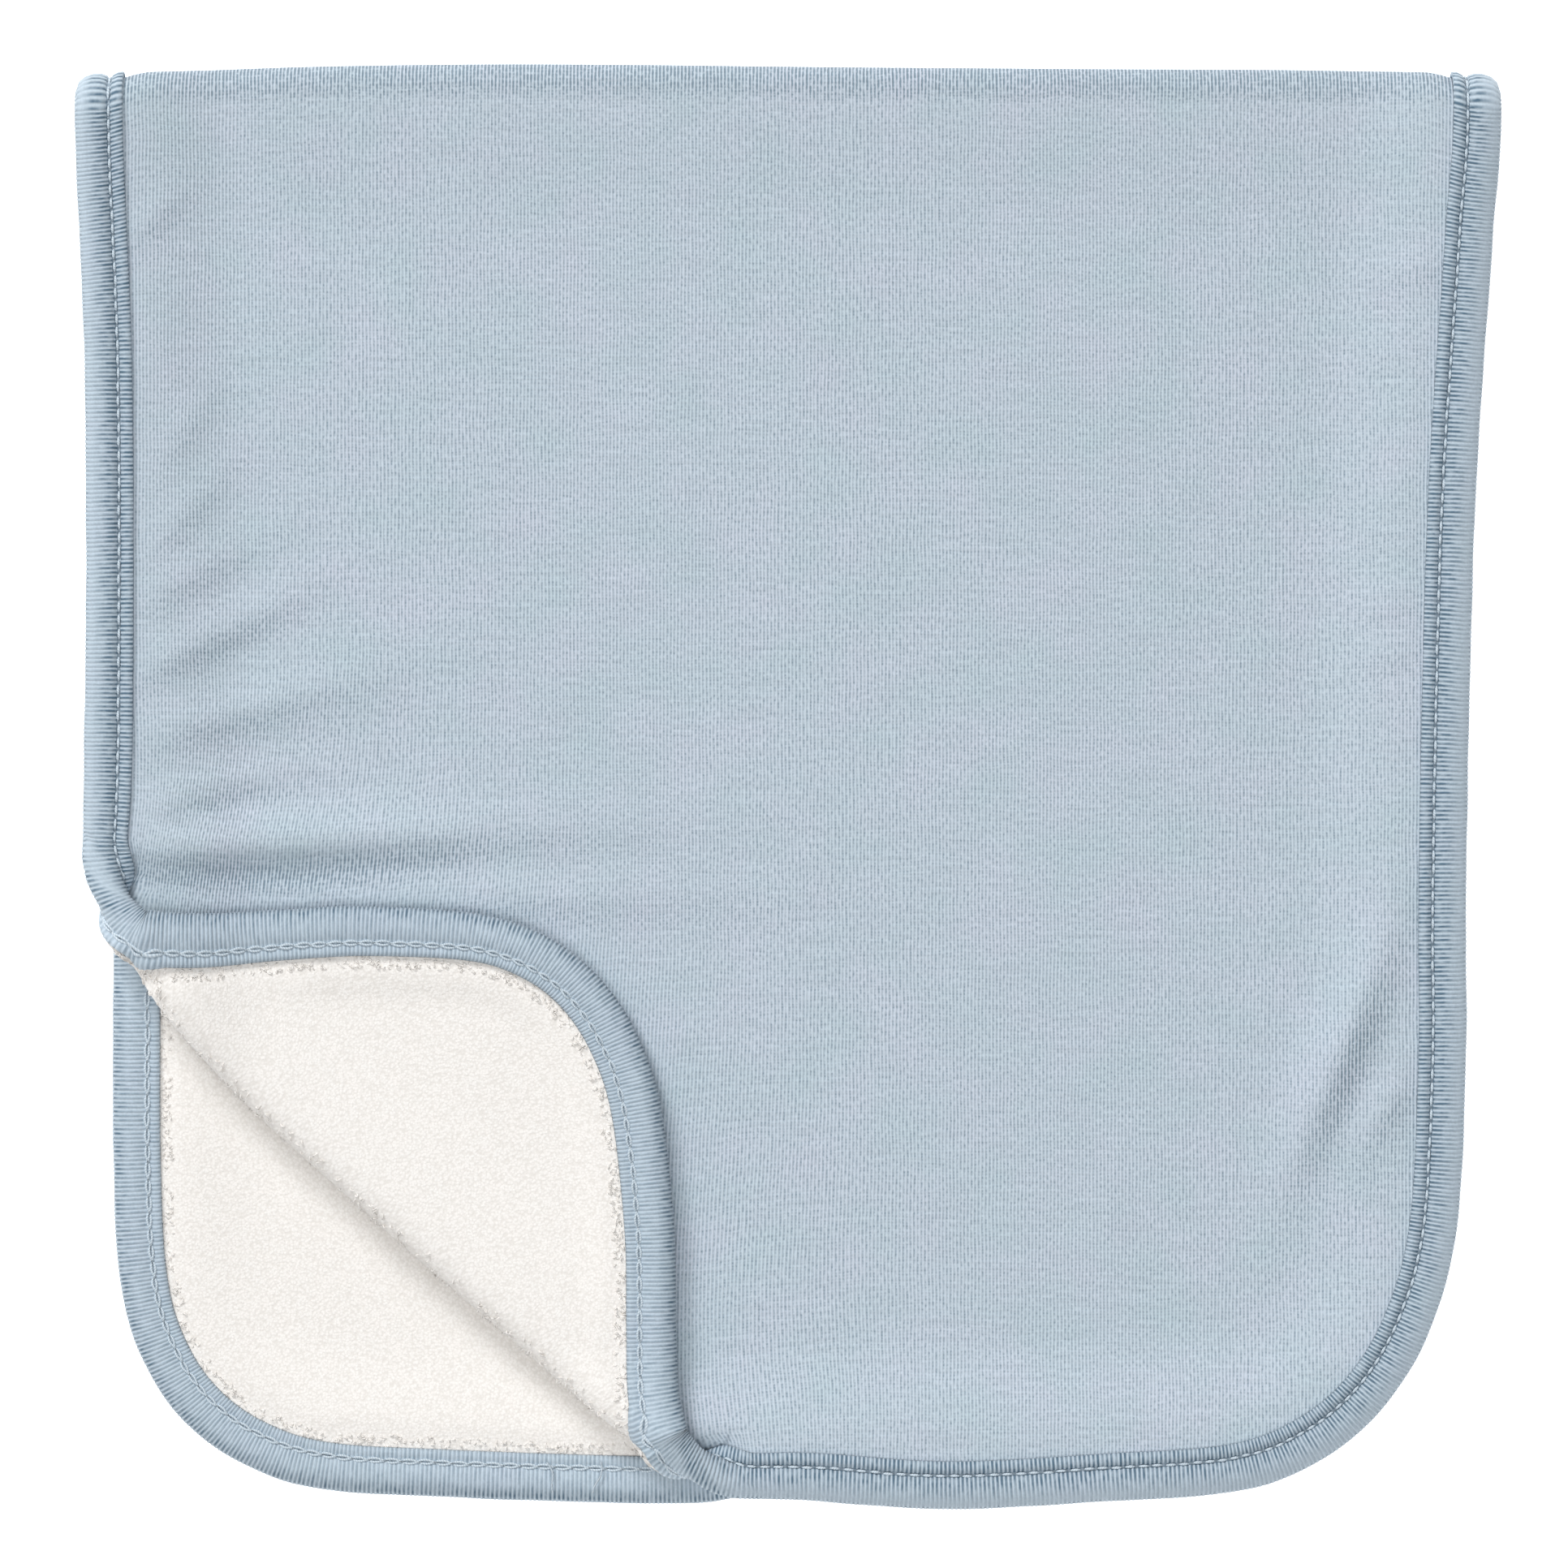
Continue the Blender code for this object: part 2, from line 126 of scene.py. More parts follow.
# The gaps that keep the layers apart, and where the cloth slopes down from the thick binding, in mm
LAYER_GAP = 0.4
BINDING_GAP = 0.4
FLAP_GAP = 0.8
EDGE_FLAT = 9
EDGE_LIFT = 27
STEP_LIFT = 17
CREST_FLAT = 4
CREST_STEP = 13
TERRY_STEP = 12

# Broad ridges and sharper creases of the front half, placed one by one: centre, direction in degrees,
# length, width and height, in mm. A line bends by "bend" for each squared millimetre along it.
RIDGES = (
    {"at": (-80, -8.0), "angle": 2, "long": 44, "wide": 5.0, "high": 1.3, "bend": 0.0},
    {"at": (-70, -19.0), "angle": 0, "long": 50, "wide": 3.4, "high": 1.0, "bend": 0.0},
    {"at": (-90, 14), "angle": 20, "long": 28, "wide": 6.0, "high": 0.5, "bend": 0.0},
    {"at": (104, -58), "angle": 55, "long": 26, "wide": 8.0, "high": 0.5, "bend": 0.0},
)
CREASES = (
    {"at": (-91, -9.6), "angle": 2, "long": 26, "wide": 2.8, "high": 3.2, "bend": 0.0},
    {"at": (-102, -0.2), "angle": 17, "long": 17, "wide": 2.2, "high": 1.3, "bend": -0.006},
    {"at": (-98, 13.2), "angle": 16, "long": 17, "wide": 2.6, "high": 0.9, "bend": 0.0},
    {"at": (-101, 26.8), "angle": 27, "long": 16, "wide": 2.8, "high": 1.1, "bend": 0.0},
    {"at": (-104, 38.0), "angle": 30, "long": 12, "wide": 2.8, "high": 0.6, "bend": 0.0},
    {"at": (-106, 48.0), "angle": 48, "long": 10, "wide": 1.7, "high": 0.6, "bend": 0.0},
    {"at": (-105, 64.5), "angle": 60, "long": 8, "wide": 1.6, "high": 0.5, "bend": 0.0},
    {"at": (-112, 100.0), "angle": 45, "long": 7, "wide": 2.0, "high": 0.7, "bend": 0.0},
    {"at": (96.4, -46.6), "angle": 70, "long": 19, "wide": 4.2, "high": 3.6, "bend": 0.0},
    {"at": (104.5, -55.6), "angle": 62, "long": 10, "wide": 2.6, "high": 0.8, "bend": 0.0},
    {"at": (106, -55.6), "angle": 34, "long": 5, "wide": 1.2, "high": 0.35, "bend": 0.0},
    {"at": (111, 91.0), "angle": 6, "long": 9, "wide": 2.2, "high": 0.5, "bend": 0.0},
    {"at": (112, 78.5), "angle": 3, "long": 7, "wide": 1.0, "high": 0.2, "bend": 0.0},
    {"at": (112, 73.0), "angle": -2, "long": 6, "wide": 0.9, "high": 0.16, "bend": 0.0},
    {"at": (112, 67.5), "angle": 4, "long": 7, "wide": 1.0, "high": 0.18, "bend": 0.0},
    {"at": (108, 24.0), "angle": 12, "long": 8, "wide": 1.8, "high": 0.3, "bend": 0.0},
    {"at": (107, 33.0), "angle": 9, "long": 8, "wide": 2.6, "high": 0.3, "bend": 0.0},
)

# Between which distances from the edge the creases die out, in mm
CREASE_FADE = (7.5, 13)

# Soft waves all over the cloth: wavelength, direction in degrees, phase, height in mm
SOFT_WAVES = (
    (61, 12, 0.4, 0.10), (47, 71, 2.1, 0.09), (33, -38, 4.0, 0.06), (24, 55, 1.3, 0.045),
    (17, -12, 5.2, 0.03),
)

# How fine the new surfaces are, in mm
CELL = 2.3
FOLD_CELL = 0.9
FOLD_CELLS_WITHIN = 11
ROLL_CELL = 0.9
CUT_WITHIN = 0.0005
SHEET_EDGE = 3.2
DISTANCE_CELL = 2.0

# The knit, the binding's ribs and the sewing, in mm
WALE = 0.63
COURSE = 0.56
RIB = 0.78
RIB_DEPTH = 0.16
STITCH = 2.4
LINK = 3.0
STITCH_HEIGHT = 1.95
LINK_HEIGHT = -2.1

# How high a slope across a crease is, over 2 mm one way and 3 mm the other, to get its full painted shade,
# drawn as the knit's gaps opened fully
FULL_SHADE_RISE = 1.6

# The terry's loops: how many are tried over the cloth's left half, where its rim of loops starts and
# ends inside the edge, where those of the turned crease start and end past it, the q from which the
# rear half shows, the shares kept on the rim and the crease, the yarn's radius, and how wide, tall,
# leaning and sunk into the cloth the loops are
LOOPS_TRIED = 130000
LOOP_RIM = (8.7, 10.5)
LOOP_ROLL = (3, 8)
REAR_SHOWN_FROM = 160
LOOP_SHARES = (0.8, 0.3)
LOOP_RADIUS = 0.16
LOOP_WIDE = 0.9
LOOP_TALL = (0.3, 0.65)
LOOP_LEAN = 0.35
LOOP_SUNK = 0.2

# Loose thread ends on the rear hem: u and how far each one leans, then the q where they start, their
# length and the thread's radius
TAILS = ((-42.5, 1.6), (-33.0, -0.9))
TAIL_START = 245.9
TAIL_LENGTH = 5.4
TAIL_RADIUS = 0.15

# The studio: heights of the camera and of the cloth's face, how wide the picture is there, in mm, and
# the strengths of the light from all round and of the floor's glow
CAMERA_HEIGHT = 1600
FACE_HEIGHT = 6
PICTURE_WIDTH = 276
ALL_ROUND = 0.34
FLOOR_GLOW = 0.75

JERSEY_OUT = SEAM_GAP / 2 + JERSEY
TERRY_OUT = SEAM_GAP / 2 + TERRY
BINDING_WALL = SEAM_GAP / 2 + TERRY_UNDER_BINDING + SEAM_GAP
BINDING_OUT = BINDING_WALL + BINDING + PUFF


def smooth_step(x, low, high):
    """0 below low and 1 above high, with a smooth rise between them."""
    t = np.clip((x - low) / (high - low), 0, 1)
    return t * t * (3 - 2 * t)


def smooth_table(x, rows):
    """The value at x of a smooth curve through the rows (x, value)."""
    at = np.array(rows, float)
    slope = np.gradient(at[:, 1], at[:, 0])
    x = np.clip(x, at[0, 0], at[-1, 0])
    i = np.clip(np.searchsorted(at[:, 0], x) - 1, 0, len(at) - 2)
    step = at[i + 1, 0] - at[i, 0]
    t = (x - at[i, 0]) / step
    start = (1 + 2 * t) * (1 - t) ** 2 * at[i, 1] + t * (1 - t) ** 2 * step * slope[i]
    end = t * t * (3 - 2 * t) * at[i + 1, 1] + t * t * (t - 1) * step * slope[i + 1]
    return start + end


def corner_points(side, hem, reach_u, reach_q, towards_hem):
    """A rounded corner of the outline, from the side to the hem or the other way."""
    centre_u = side - math.copysign(reach_u, side)
    centre_q = hem - math.copysign(reach_q, hem)
    points = []
    for k in range(CORNER_STEPS + 1):
        turn = k / CORNER_STEPS * math.pi / 2
        u = centre_u + math.copysign(reach_u, side) * math.cos(turn) ** (2 / CORNER_ROUNDNESS)
        q = centre_q + math.copysign(reach_q, hem) * math.sin(turn) ** (2 / CORNER_ROUNDNESS)
        points.append((u, q))
    return points if towards_hem else points[::-1]


def flat_outline():
    """The outer edge of the flat cloth, clockwise from the main fold's right end, 1 mm or so apart."""
    rows = [*FRONT_RIGHT, *corner_points(*FRONT_RIGHT_CORNER, True), *FRONT_HEM]
    rows += [*corner_points(*FRONT_LEFT_CORNER, False), *FRONT_LEFT, *REAR_LEFT]
    rows += [*corner_points(*REAR_LEFT_CORNER, True), *REAR_HEM]
    rows += [*corner_points(*REAR_RIGHT_CORNER, False), *REAR_RIGHT]
    knots = np.array(rows, float)
    before, after, beyond = (np.roll(knots, -k, axis=0) for k in (-1, 1, 2))
    dense = []
    for a, b, c, d in zip(before, knots, after, beyond, strict=True):
        for t in np.linspace(0, 1, max(2, round(np.linalg.norm(c - b))), endpoint=False):
            half = b * 2 + (c - a) * t + (2 * a - 5 * b + 4 * c - d) * t**2 + (3 * b - a - 3 * c + d) * t**3
            dense.append(half / 2)
    return np.array(dense)


OUTLINE = flat_outline()


def exact_edge_distance(points):
    """How far inside the outline each point of the flat cloth lies, 0 outside it."""
    best = np.full(len(points), np.inf)
    inside = np.zeros(len(points), bool)
    for a, b in zip(OUTLINE, np.roll(OUTLINE, -1, axis=0), strict=True):
        d = b - a
        t = np.clip((points - a) @ d / (d @ d), 0, 1)
        best = np.minimum(best, ((points - a - t[:, None] * d) ** 2).sum(axis=1))
        if a[1] != b[1]:
            crosses = (a[1] > points[:, 1]) != (b[1] > points[:, 1])
            inside ^= crosses & (points[:, 0] < a[0] + (points[:, 1] - a[1]) / d[1] * d[0])
    return np.where(inside, np.sqrt(best), 0)


GRID_U = np.arange(-130, 130.1, DISTANCE_CELL)
GRID_Q = np.arange(-258, 258.1, DISTANCE_CELL)
GRID = exact_edge_distance(np.stack(np.meshgrid(GRID_U, GRID_Q), axis=-1).reshape(-1, 2))
GRID = GRID.reshape(len(GRID_Q), len(GRID_U))


def edge_distance(u, q):
    """The distance to the outline, read between the points of a grid."""
    across = np.clip((u - GRID_U[0]) / DISTANCE_CELL, 0, len(GRID_U) - 1.001)
    along = np.clip((q - GRID_Q[0]) / DISTANCE_CELL, 0, len(GRID_Q) - 1.001)
    i, j = across.astype(int), along.astype(int)
    s, t = across - i, along - j
    low = GRID[j, i] * (1 - s) + GRID[j, i + 1] * s
    high = GRID[j + 1, i] * (1 - s) + GRID[j + 1, i + 1] * s
    return low * (1 - t) + high * t


def near_edge(r):
    """1 at the edge and on its binding, 0 far inside it."""
    return 1 - smooth_step(r, EDGE_FLAT, EDGE_LIFT)


def on_binding(r):
    """1 at the edge and on its binding, 0 a little inside it."""
    return 1 - smooth_step(r, EDGE_FLAT, STEP_LIFT)


def ridge_height(x, y, rows):
    """The summed height of a table's ridges."""
    height = np.zeros(len(x))
    for row in rows:
        turn = math.radians(row["angle"])
        along = (x - row["at"][0]) * math.cos(turn) + (y - row["at"][1]) * math.sin(turn)
        across = (y - row["at"][1]) * math.cos(turn) - (x - row["at"][0]) * math.sin(turn)
        across = across - row["bend"] * along**2
        height += row["high"] * np.exp(-((along / row["long"]) ** 2) - (across / row["wide"]) ** 2)
    return height


def painted_crease_shade(u, q):
    """From 0 to 1, a crease's painted shade, drawn as wider knit gaps: most on slopes facing the lower
    right, away from the light.
    """
    upper, lower = (
        sum(ridge_height(u + side, q + FRONT_SHIFT - 1.5 * side, rows) for rows in (RIDGES, CREASES))
        for side in (-1, 1)
    )
    return np.where(q < 0, np.clip((upper - lower) / FULL_SHADE_RISE, 0, 1), 0)


def soft_waves(x, y):
    """The cloth's slight unevenness, never below 0."""
    height = np.zeros(len(x))
    for length, angle, phase, high in SOFT_WAVES:
        way = x * math.cos(math.radians(angle)) + y * math.sin(math.radians(angle))
        height += high * (1 + np.sin(way / length * 2 * math.pi + phase)) / 2
    return height


def rear_height(r):
    """The height of the rear half's middle surface."""
    return JERSEY_OUT + (BINDING_OUT - JERSEY_OUT) * near_edge(r)


def front_height(x, y, r):
    """The height of the front half's middle surface: it lies on the rear half and its binding."""
    field = JERSEY_OUT + TERRY_OUT + LAYER_GAP + TERRY_OUT
    edge = 3 * BINDING_OUT + BINDING_GAP
    r_below = edge_distance(x, FRONT_SHIFT - y)
    lift = np.maximum(near_edge(r), near_edge(r_below))
    uneven = ridge_height(x, y, RIDGES) * smooth_step(r, EDGE_FLAT, EDGE_LIFT)
    uneven += ridge_height(x, y, CREASES) * smooth_step(r, *CREASE_FADE) + soft_waves(x, y)
    return field + (edge - field) * lift + uneven


def crease_place(x, y):
    """How far along the corner's crease a place is, and how far out past it."""
    out = (CREASE_ALONG[1], -CREASE_ALONG[0])
    along = (x - CREASE_START[0]) * CREASE_ALONG[0] + (y - CREASE_START[1]) * CREASE_ALONG[1]
    past = (x - CREASE_START[0]) * out[0] + (y - CREASE_START[1]) * out[1]
    return along, past


def bowed(along, past):
    """How far the cloth behind the crease is pulled out to the crease's bow."""
    return smooth_table(along, CREASE_BOW) * smooth_step(past, -BOW_FADE, 0)


def flap_height(x, y, r, away):
    """The height of the turned corner's middle surface, which lies on the front half."""
    along, past = crease_place(x, y)
    unbowed = past
    for _ in range(8):
        unbowed = past - bowed(along, unbowed)
    moved = unbowed - past
    flat_x, flat_y = x + moved * CREASE_ALONG[1], y - moved * CREASE_ALONG[0]
    r_below = edge_distance(flat_x, flat_y - FRONT_SHIFT)
    step = BINDING_OUT - JERSEY_OUT
    rise = 2 * JERSEY_OUT + FLAP_GAP + step * (on_binding(r_below) + on_binding(r))
    full = ROLL_FULLNESS + (ROLL_FULLNESS_AT_BINDING - ROLL_FULLNESS) * on_binding(r)
    return front_height(x, y, r_below) + rise + full * np.exp(-((away / ROLL_SPREAD) ** 2))


def fold_over(u, q, w, r):
    """The main fold, half a turn about a line along X: places, and how far round the turn they are."""
    thick = JERSEY_OUT + (BINDING_OUT - JERSEY_OUT) * (1 - smooth_step(r, CREST_FLAT, CREST_STEP))
    low, high = rear_height(r), front_height(u, np.full(len(u), TOP_EDGE), r) + FOLD_FULLNESS
    radius = (high - low) / 2
    quarter = radius * math.pi / 2
    centre = TOP_EDGE - smooth_table(u, TOP_DROP) - radius - thick
    beyond = np.maximum(np.abs(q) - quarter, 0)
    turn = np.clip(q / radius, -math.pi / 2, math.pi / 2)
    drawn = (centre + quarter - FRONT_SHIFT) * smooth_step(beyond, 0, DRAWN_IN)
    y = centre + (radius + w) * np.cos(turn) - beyond - drawn
    settle = 1 - smooth_step(beyond, 0, DRAWN_IN / 2)
    return y, turn, low, settle


def fold_flat(u, q, w, r):
    """Where points of the flat cloth lie once its layers are folded, in mm, its corner's tape laid flat."""
    y, turn, low, settle = fold_over(u, q, w, r)

    # The turned corner, half a turn about its crease, and the bow of the cloth behind it
    along, past = crease_place(u, q + FRONT_SHIFT)
    past = np.where(q < 0, past, -np.inf)
    turned = past > 0
    back = np.maximum(past - ROLL_RADIUS * math.pi, 0)
    angle = np.clip(past / ROLL_RADIUS, 0, math.pi)
    out = bowed(along, past)
    x = np.where(turned, CREASE_START[0] + along * CREASE_ALONG[0] + (out - back) * CREASE_ALONG[1], u)
    y = np.where(turned, CREASE_START[1] + along * CREASE_ALONG[1] - (out - back) * CREASE_ALONG[0], y)
    x = np.where(turned, x, x + out * CREASE_ALONG[1])
    y = np.where(turned, y, y - out * CREASE_ALONG[0])

    # Heights of the three layers, joined by the two half turns
    on_front = front_height(x, np.where(q < 0, y, TOP_EDGE), r) + FOLD_FULLNESS * settle
    on_flap = flap_height(x, y, r, back)
    z = low + (on_front - low) * (1 - np.sin(turn)) / 2 - w * np.sin(turn)
    z = np.where(turned, on_front + (on_flap - on_front) * (1 - np.cos(angle)) / 2 + w * np.cos(angle), z)
    reach = np.where(turned, (ROLL_RADIUS - w) * np.sin(angle), 0)
    x = x + reach * CREASE_ALONG[1] + CENTRING[0]
    y = y - reach * CREASE_ALONG[0] + CENTRING[1]
    return np.stack([x, y, z], axis=1)


LOOP = np.concatenate([OUTLINE, OUTLINE[:1]])
WALKED = np.concatenate([[0], np.cumsum(np.linalg.norm(np.diff(LOOP, axis=0), axis=1))])
AHEAD = np.roll(OUTLINE, -3, axis=0) - np.roll(OUTLINE, 3, axis=0)
AHEAD = AHEAD / np.linalg.norm(AHEAD, axis=1)[:, None]
AHEAD = np.concatenate([AHEAD, AHEAD[:1]])
ROUND = float(WALKED[-1])


def edge_place(s, inset):
    """The flat place a distance s round the outline, and so far in from it."""
    s = np.mod(s, ROUND)
    columns = (LOOP[:, 0], LOOP[:, 1], AHEAD[:, 0], AHEAD[:, 1])
    u, q, ahead_u, ahead_q = (np.interp(s, WALKED, column) for column in columns)
    return u + ahead_q * inset, q - ahead_u * inset


def edge_walk(u, q):
    """How far round the outline the edge nearest to each flat place is."""
    near = np.argmin((u[:, None] - OUTLINE[:, 0]) ** 2 + (q[:, None] - OUTLINE[:, 1]) ** 2, axis=1)
    return WALKED[near] + ((u - OUTLINE[near, 0]) * AHEAD[near, 0] + (q - OUTLINE[near, 1]) * AHEAD[near, 1])


def level(way):
    """A direction without its height, one long."""
    flat = np.array([way[0], way[1], 0.0])
    return flat / np.linalg.norm(flat)


def find_twists():
    """Where the binding crosses the corner's crease, and where its middle goes in and comes out."""
    s = np.arange(0, ROUND, 0.25)
    u, q = edge_place(s, TWIST_MIDDLE)
    past = np.where(q < 0, crease_place(u, q + FRONT_SHIFT)[1], -1)
    twists = []
    for k in np.flatnonzero((past > 0) != (np.roll(past, 1) > 0)):
        way = 1 if past[k] > 0 else -1
        at = s[k] + way * np.array([-TWIST_BEFORE - 1, -TWIST_BEFORE, TWIST_AFTER, TWIST_AFTER + 1])
        path = fold_flat(*edge_place(at, TWIST_MIDDLE), 0, np.full(4, TWIST_MIDDLE))
        ways = (level(path[1] - path[0]), level(path[3] - path[2]))
        twists.append((s[k], way, (u[k], q[k]), path[1:3], ways))
    return twists


TWISTS = find_twists()


def twisted(t, inset, w, way, ends, ways):
    """Places on a tape that turns a corner as it rolls over, its outer edge on top half way."""
    t = t[:, None]
    reach = np.linalg.norm(ends[1] - ends[0])
    (start, end), (leave, arrive) = ends, ways
    middle = (1 + 2 * t) * (1 - t) ** 2 * start + t * t * (3 - 2 * t) * end
    middle += reach * (t * (1 - t) ** 2 * leave + t * t * (t - 1) * arrive)
    middle[:, 2:] -= TWIST_DIP * np.sin(math.pi * t) ** 2
    ahead = 6 * t * (1 - t) * (end - start)
    ahead += reach * ((1 - t) * (1 - 3 * t) * leave + t * (3 * t - 2) * arrive)
    ahead /= np.linalg.norm(ahead[:, :2], axis=1)[:, None]
    side = way * np.stack([ahead[:, 1], -ahead[:, 0], np.zeros(len(t))], axis=1)
    roll = math.pi * smooth_step(t, *TWIST_TURN)
    up = np.array([0.0, 0.0, 1.0])
    inwards = side * np.cos(roll) - up * np.sin(roll)
    face = up * np.cos(roll) + side * np.sin(roll)
    in_from_middle = np.minimum(inset, TWIST_FADE[0] + 1) - TWIST_MIDDLE
    return middle + inwards * in_from_middle[:, None] + face * w[:, None]


def fold(u, q, w, r, inset=None):
    """Where points of the flat cloth lie once it is folded, in metres. r is their distance to its edge."""
    w, inset = np.broadcast_to(w, len(u)), r if inset is None else inset
    points = fold_flat(u, q, w, r)
    for at, way, centre, ends, ways in TWISTS:
        away = np.hypot(u - centre[0], q - centre[1])
        near = np.flatnonzero((away < TWIST_WINDOW) & (r < TWIST_FADE[1]))
        if len(near) == 0:
            continue
        run = (edge_walk(u[near], q[near]) - at) * way
        share = smooth_step(run, -TWIST_BEFORE, -TWIST_BEFORE + TWIST_BLEND)
        share *= 1 - smooth_step(run, TWIST_AFTER - TWIST_BLEND, TWIST_AFTER)
        share *= 1 - smooth_step(r[near], *TWIST_FADE)
        t = np.clip((run + TWIST_BEFORE) / (TWIST_BEFORE + TWIST_AFTER), 0, 1)
        rolled = twisted(t, inset[near], w[near], way, ends, ways)
        points[near] += share[:, None] * (rolled - points[near])
    return points * MM


def terry_outer(r):
    """The height w of the terry's looped side: the binding presses it flat."""
    thick = TERRY_UNDER_BINDING + (TERRY - TERRY_UNDER_BINDING) * smooth_step(r, EDGE_FLAT, TERRY_STEP)
    return -SEAM_GAP / 2 - thick


def add_piece(name, points, faces, flat_places, material):
    """A mesh object on the cloth's body. flat_places has each corner's place on the flat piece, in mm."""
    mesh = bpy.data.meshes.new(name)
    mesh.from_pydata(points, [], faces)
    corners = np.zeros(len(mesh.loops), int)
    mesh.loops.foreach_get("vertex_index", corners)
    placed = flat_places[corners] if len(flat_places) == len(points) else flat_places
    mesh.uv_layers.new(name="flat_mm").uv.foreach_set("vector", placed.astype(np.float32).ravel())
    mesh.materials.append(material)
    mesh.shade_smooth()
    piece = bpy.data.objects.new(name, mesh)
    bpy.context.scene.collection.objects.link(piece)
    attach(piece, "root")
    return piece


def flat_grid():
    """The flat cloth as a grid of cells inside its edge, cut finely where it turns."""
    near_fold = np.arange(0, FOLD_CELLS_WITHIN, FOLD_CELL)
    along = np.concatenate([near_fold, np.arange(near_fold[-1] + FOLD_CELL, 256, CELL)])
    along = np.concatenate([-along[:0:-1], along])
    across = np.arange(-126.5, 126.6, CELL)
    sheet = bmesh.new()
    rows = [[sheet.verts.new((u, q, 0)) for u in across] for q in along]
    for low, high in zip(rows, rows[1:], strict=False):
        for i in range(len(across) - 1):
            sheet.faces.new((low[i], low[i + 1], high[i + 1], high[i]))
    places = np.array([v.co[:2] for v in sheet.verts])
    inside = edge_distance(*places.T) > SHEET_EDGE
    outside = [v for v, is_in in zip(sheet.verts, inside, strict=True) if not is_in]
    bmesh.ops.delete(sheet, geom=outside, context="VERTS")
    out = Vector((CREASE_ALONG[1], -CREASE_ALONG[0], 0))
    half_turn = ROLL_RADIUS * math.pi
    for s in np.arange(-ROLL_CELL, half_turn + 2 * ROLL_CELL, ROLL_CELL):
        at = Vector((CREASE_START[0], CREASE_START[1] - FRONT_SHIFT, 0)) + out * float(s)
        near = [f for f in sheet.faces if abs((f.calc_center_median() - at).dot(out)) < 2 * CELL]
        edges = {e for f in near for e in f.edges}
        verts = {v for e in edges for v in e.verts}
        cut = [*verts, *edges, *near]
        bmesh.ops.bisect_plane(sheet, geom=cut, dist=CUT_WITHIN, plane_co=at, plane_no=out)
    sheet.verts.index_update()
    places = np.array([v.co[:2] for v in sheet.verts])
    faces = [[v.index for v in f.verts] for f in sheet.faces]
    corners = [e.link_loops[0] for e in sheet.edges if e.is_boundary]
    rim = [(c.vert.index, c.link_loop_next.vert.index) for c in corners]
    sheet.free()
    return places, faces, rim


def make_sheet(name, grid, upper, lower, material):
    """A cloth panel as a thin closed slab between the heights upper(r) and lower(r)."""
    places, faces, rim = grid
    u, q = places.T
    r = edge_distance(u, q)
    points = np.concatenate([fold(u, q, upper(r), r), fold(u, q, lower(r), r)])
    count = len(places)
    closed = faces + [[i + count for i in reversed(face)] for face in faces]
    closed += [[b, a, a + count, b + count] for a, b in rim]
    return add_piece(name, points, closed, np.tile(places, (2, 1)), material)


def fold_on_edge(s, inset, w):
    """Where points of the binding lie once the cloth is folded."""
    u, q = edge_place(s, inset)
    return fold(u, q, w, np.maximum(inset, 0), inset)


def uneven(s, lengths, phases):
    """A slow, uneven wave round the edge, from -1 to 1, that meets itself after one round."""
    total = np.zeros(len(s))
    for length, phase in zip(lengths, phases, strict=True):
        total += np.sin(s / ROUND * 2 * math.pi * round(ROUND / length) + phase)
    return total / len(lengths)


# The binding's cross-section: how far in from the edge, the height w, and its ribs' share. The stitching
# pulls it in deeply on the face side, less on the reverse side.
TAPE_SIDE = (
    (8.5, 1.5, 0.0), (8.4, 2.25, 0.4), (7.5, 2.5, 0.6), (6.55, 2.3, 0.5), (6.15, 1.35, 0.1),
    (5.85, 1.35, 0.1), (5.5, 2.35, 1.0), (4.4, 2.88, 1.0), (3.0, 2.9, 1.0), (1.6, 2.5, 1.0),
    (0.55, 1.6, 1.0),
)
TAPE_EDGE = (0.0, 0.0, 1.0)
TAPE_REVERSE = (
    (0.55, -1.6, 1.0), (1.6, -2.5, 1.0), (3.0, -2.9, 0.7), (4.4, -2.86, 0.5), (5.4, -2.5, 0.5),
    (6.2, -2.0, 0.3), (6.9, -2.25, 0.6), (7.5, -2.45, 0.8), (8.3, -2.2, 0.8), (8.5, -1.5, 0.0),
)
TAPE_INSIDE = ((1.7, -1.6, 0.0), (1.7, 1.6, 0.0))

# How the tape's fullness and its ribs' lean vary round the edge: wavelengths, phases and how much
TAPE_FULL = ((31, 19, 12.3), (0.3, 2.0, 4.4), 0.07)
TAPE_LEAN = ((160, 90, 53), (1.0, 3.0, 5.0), 0.06)


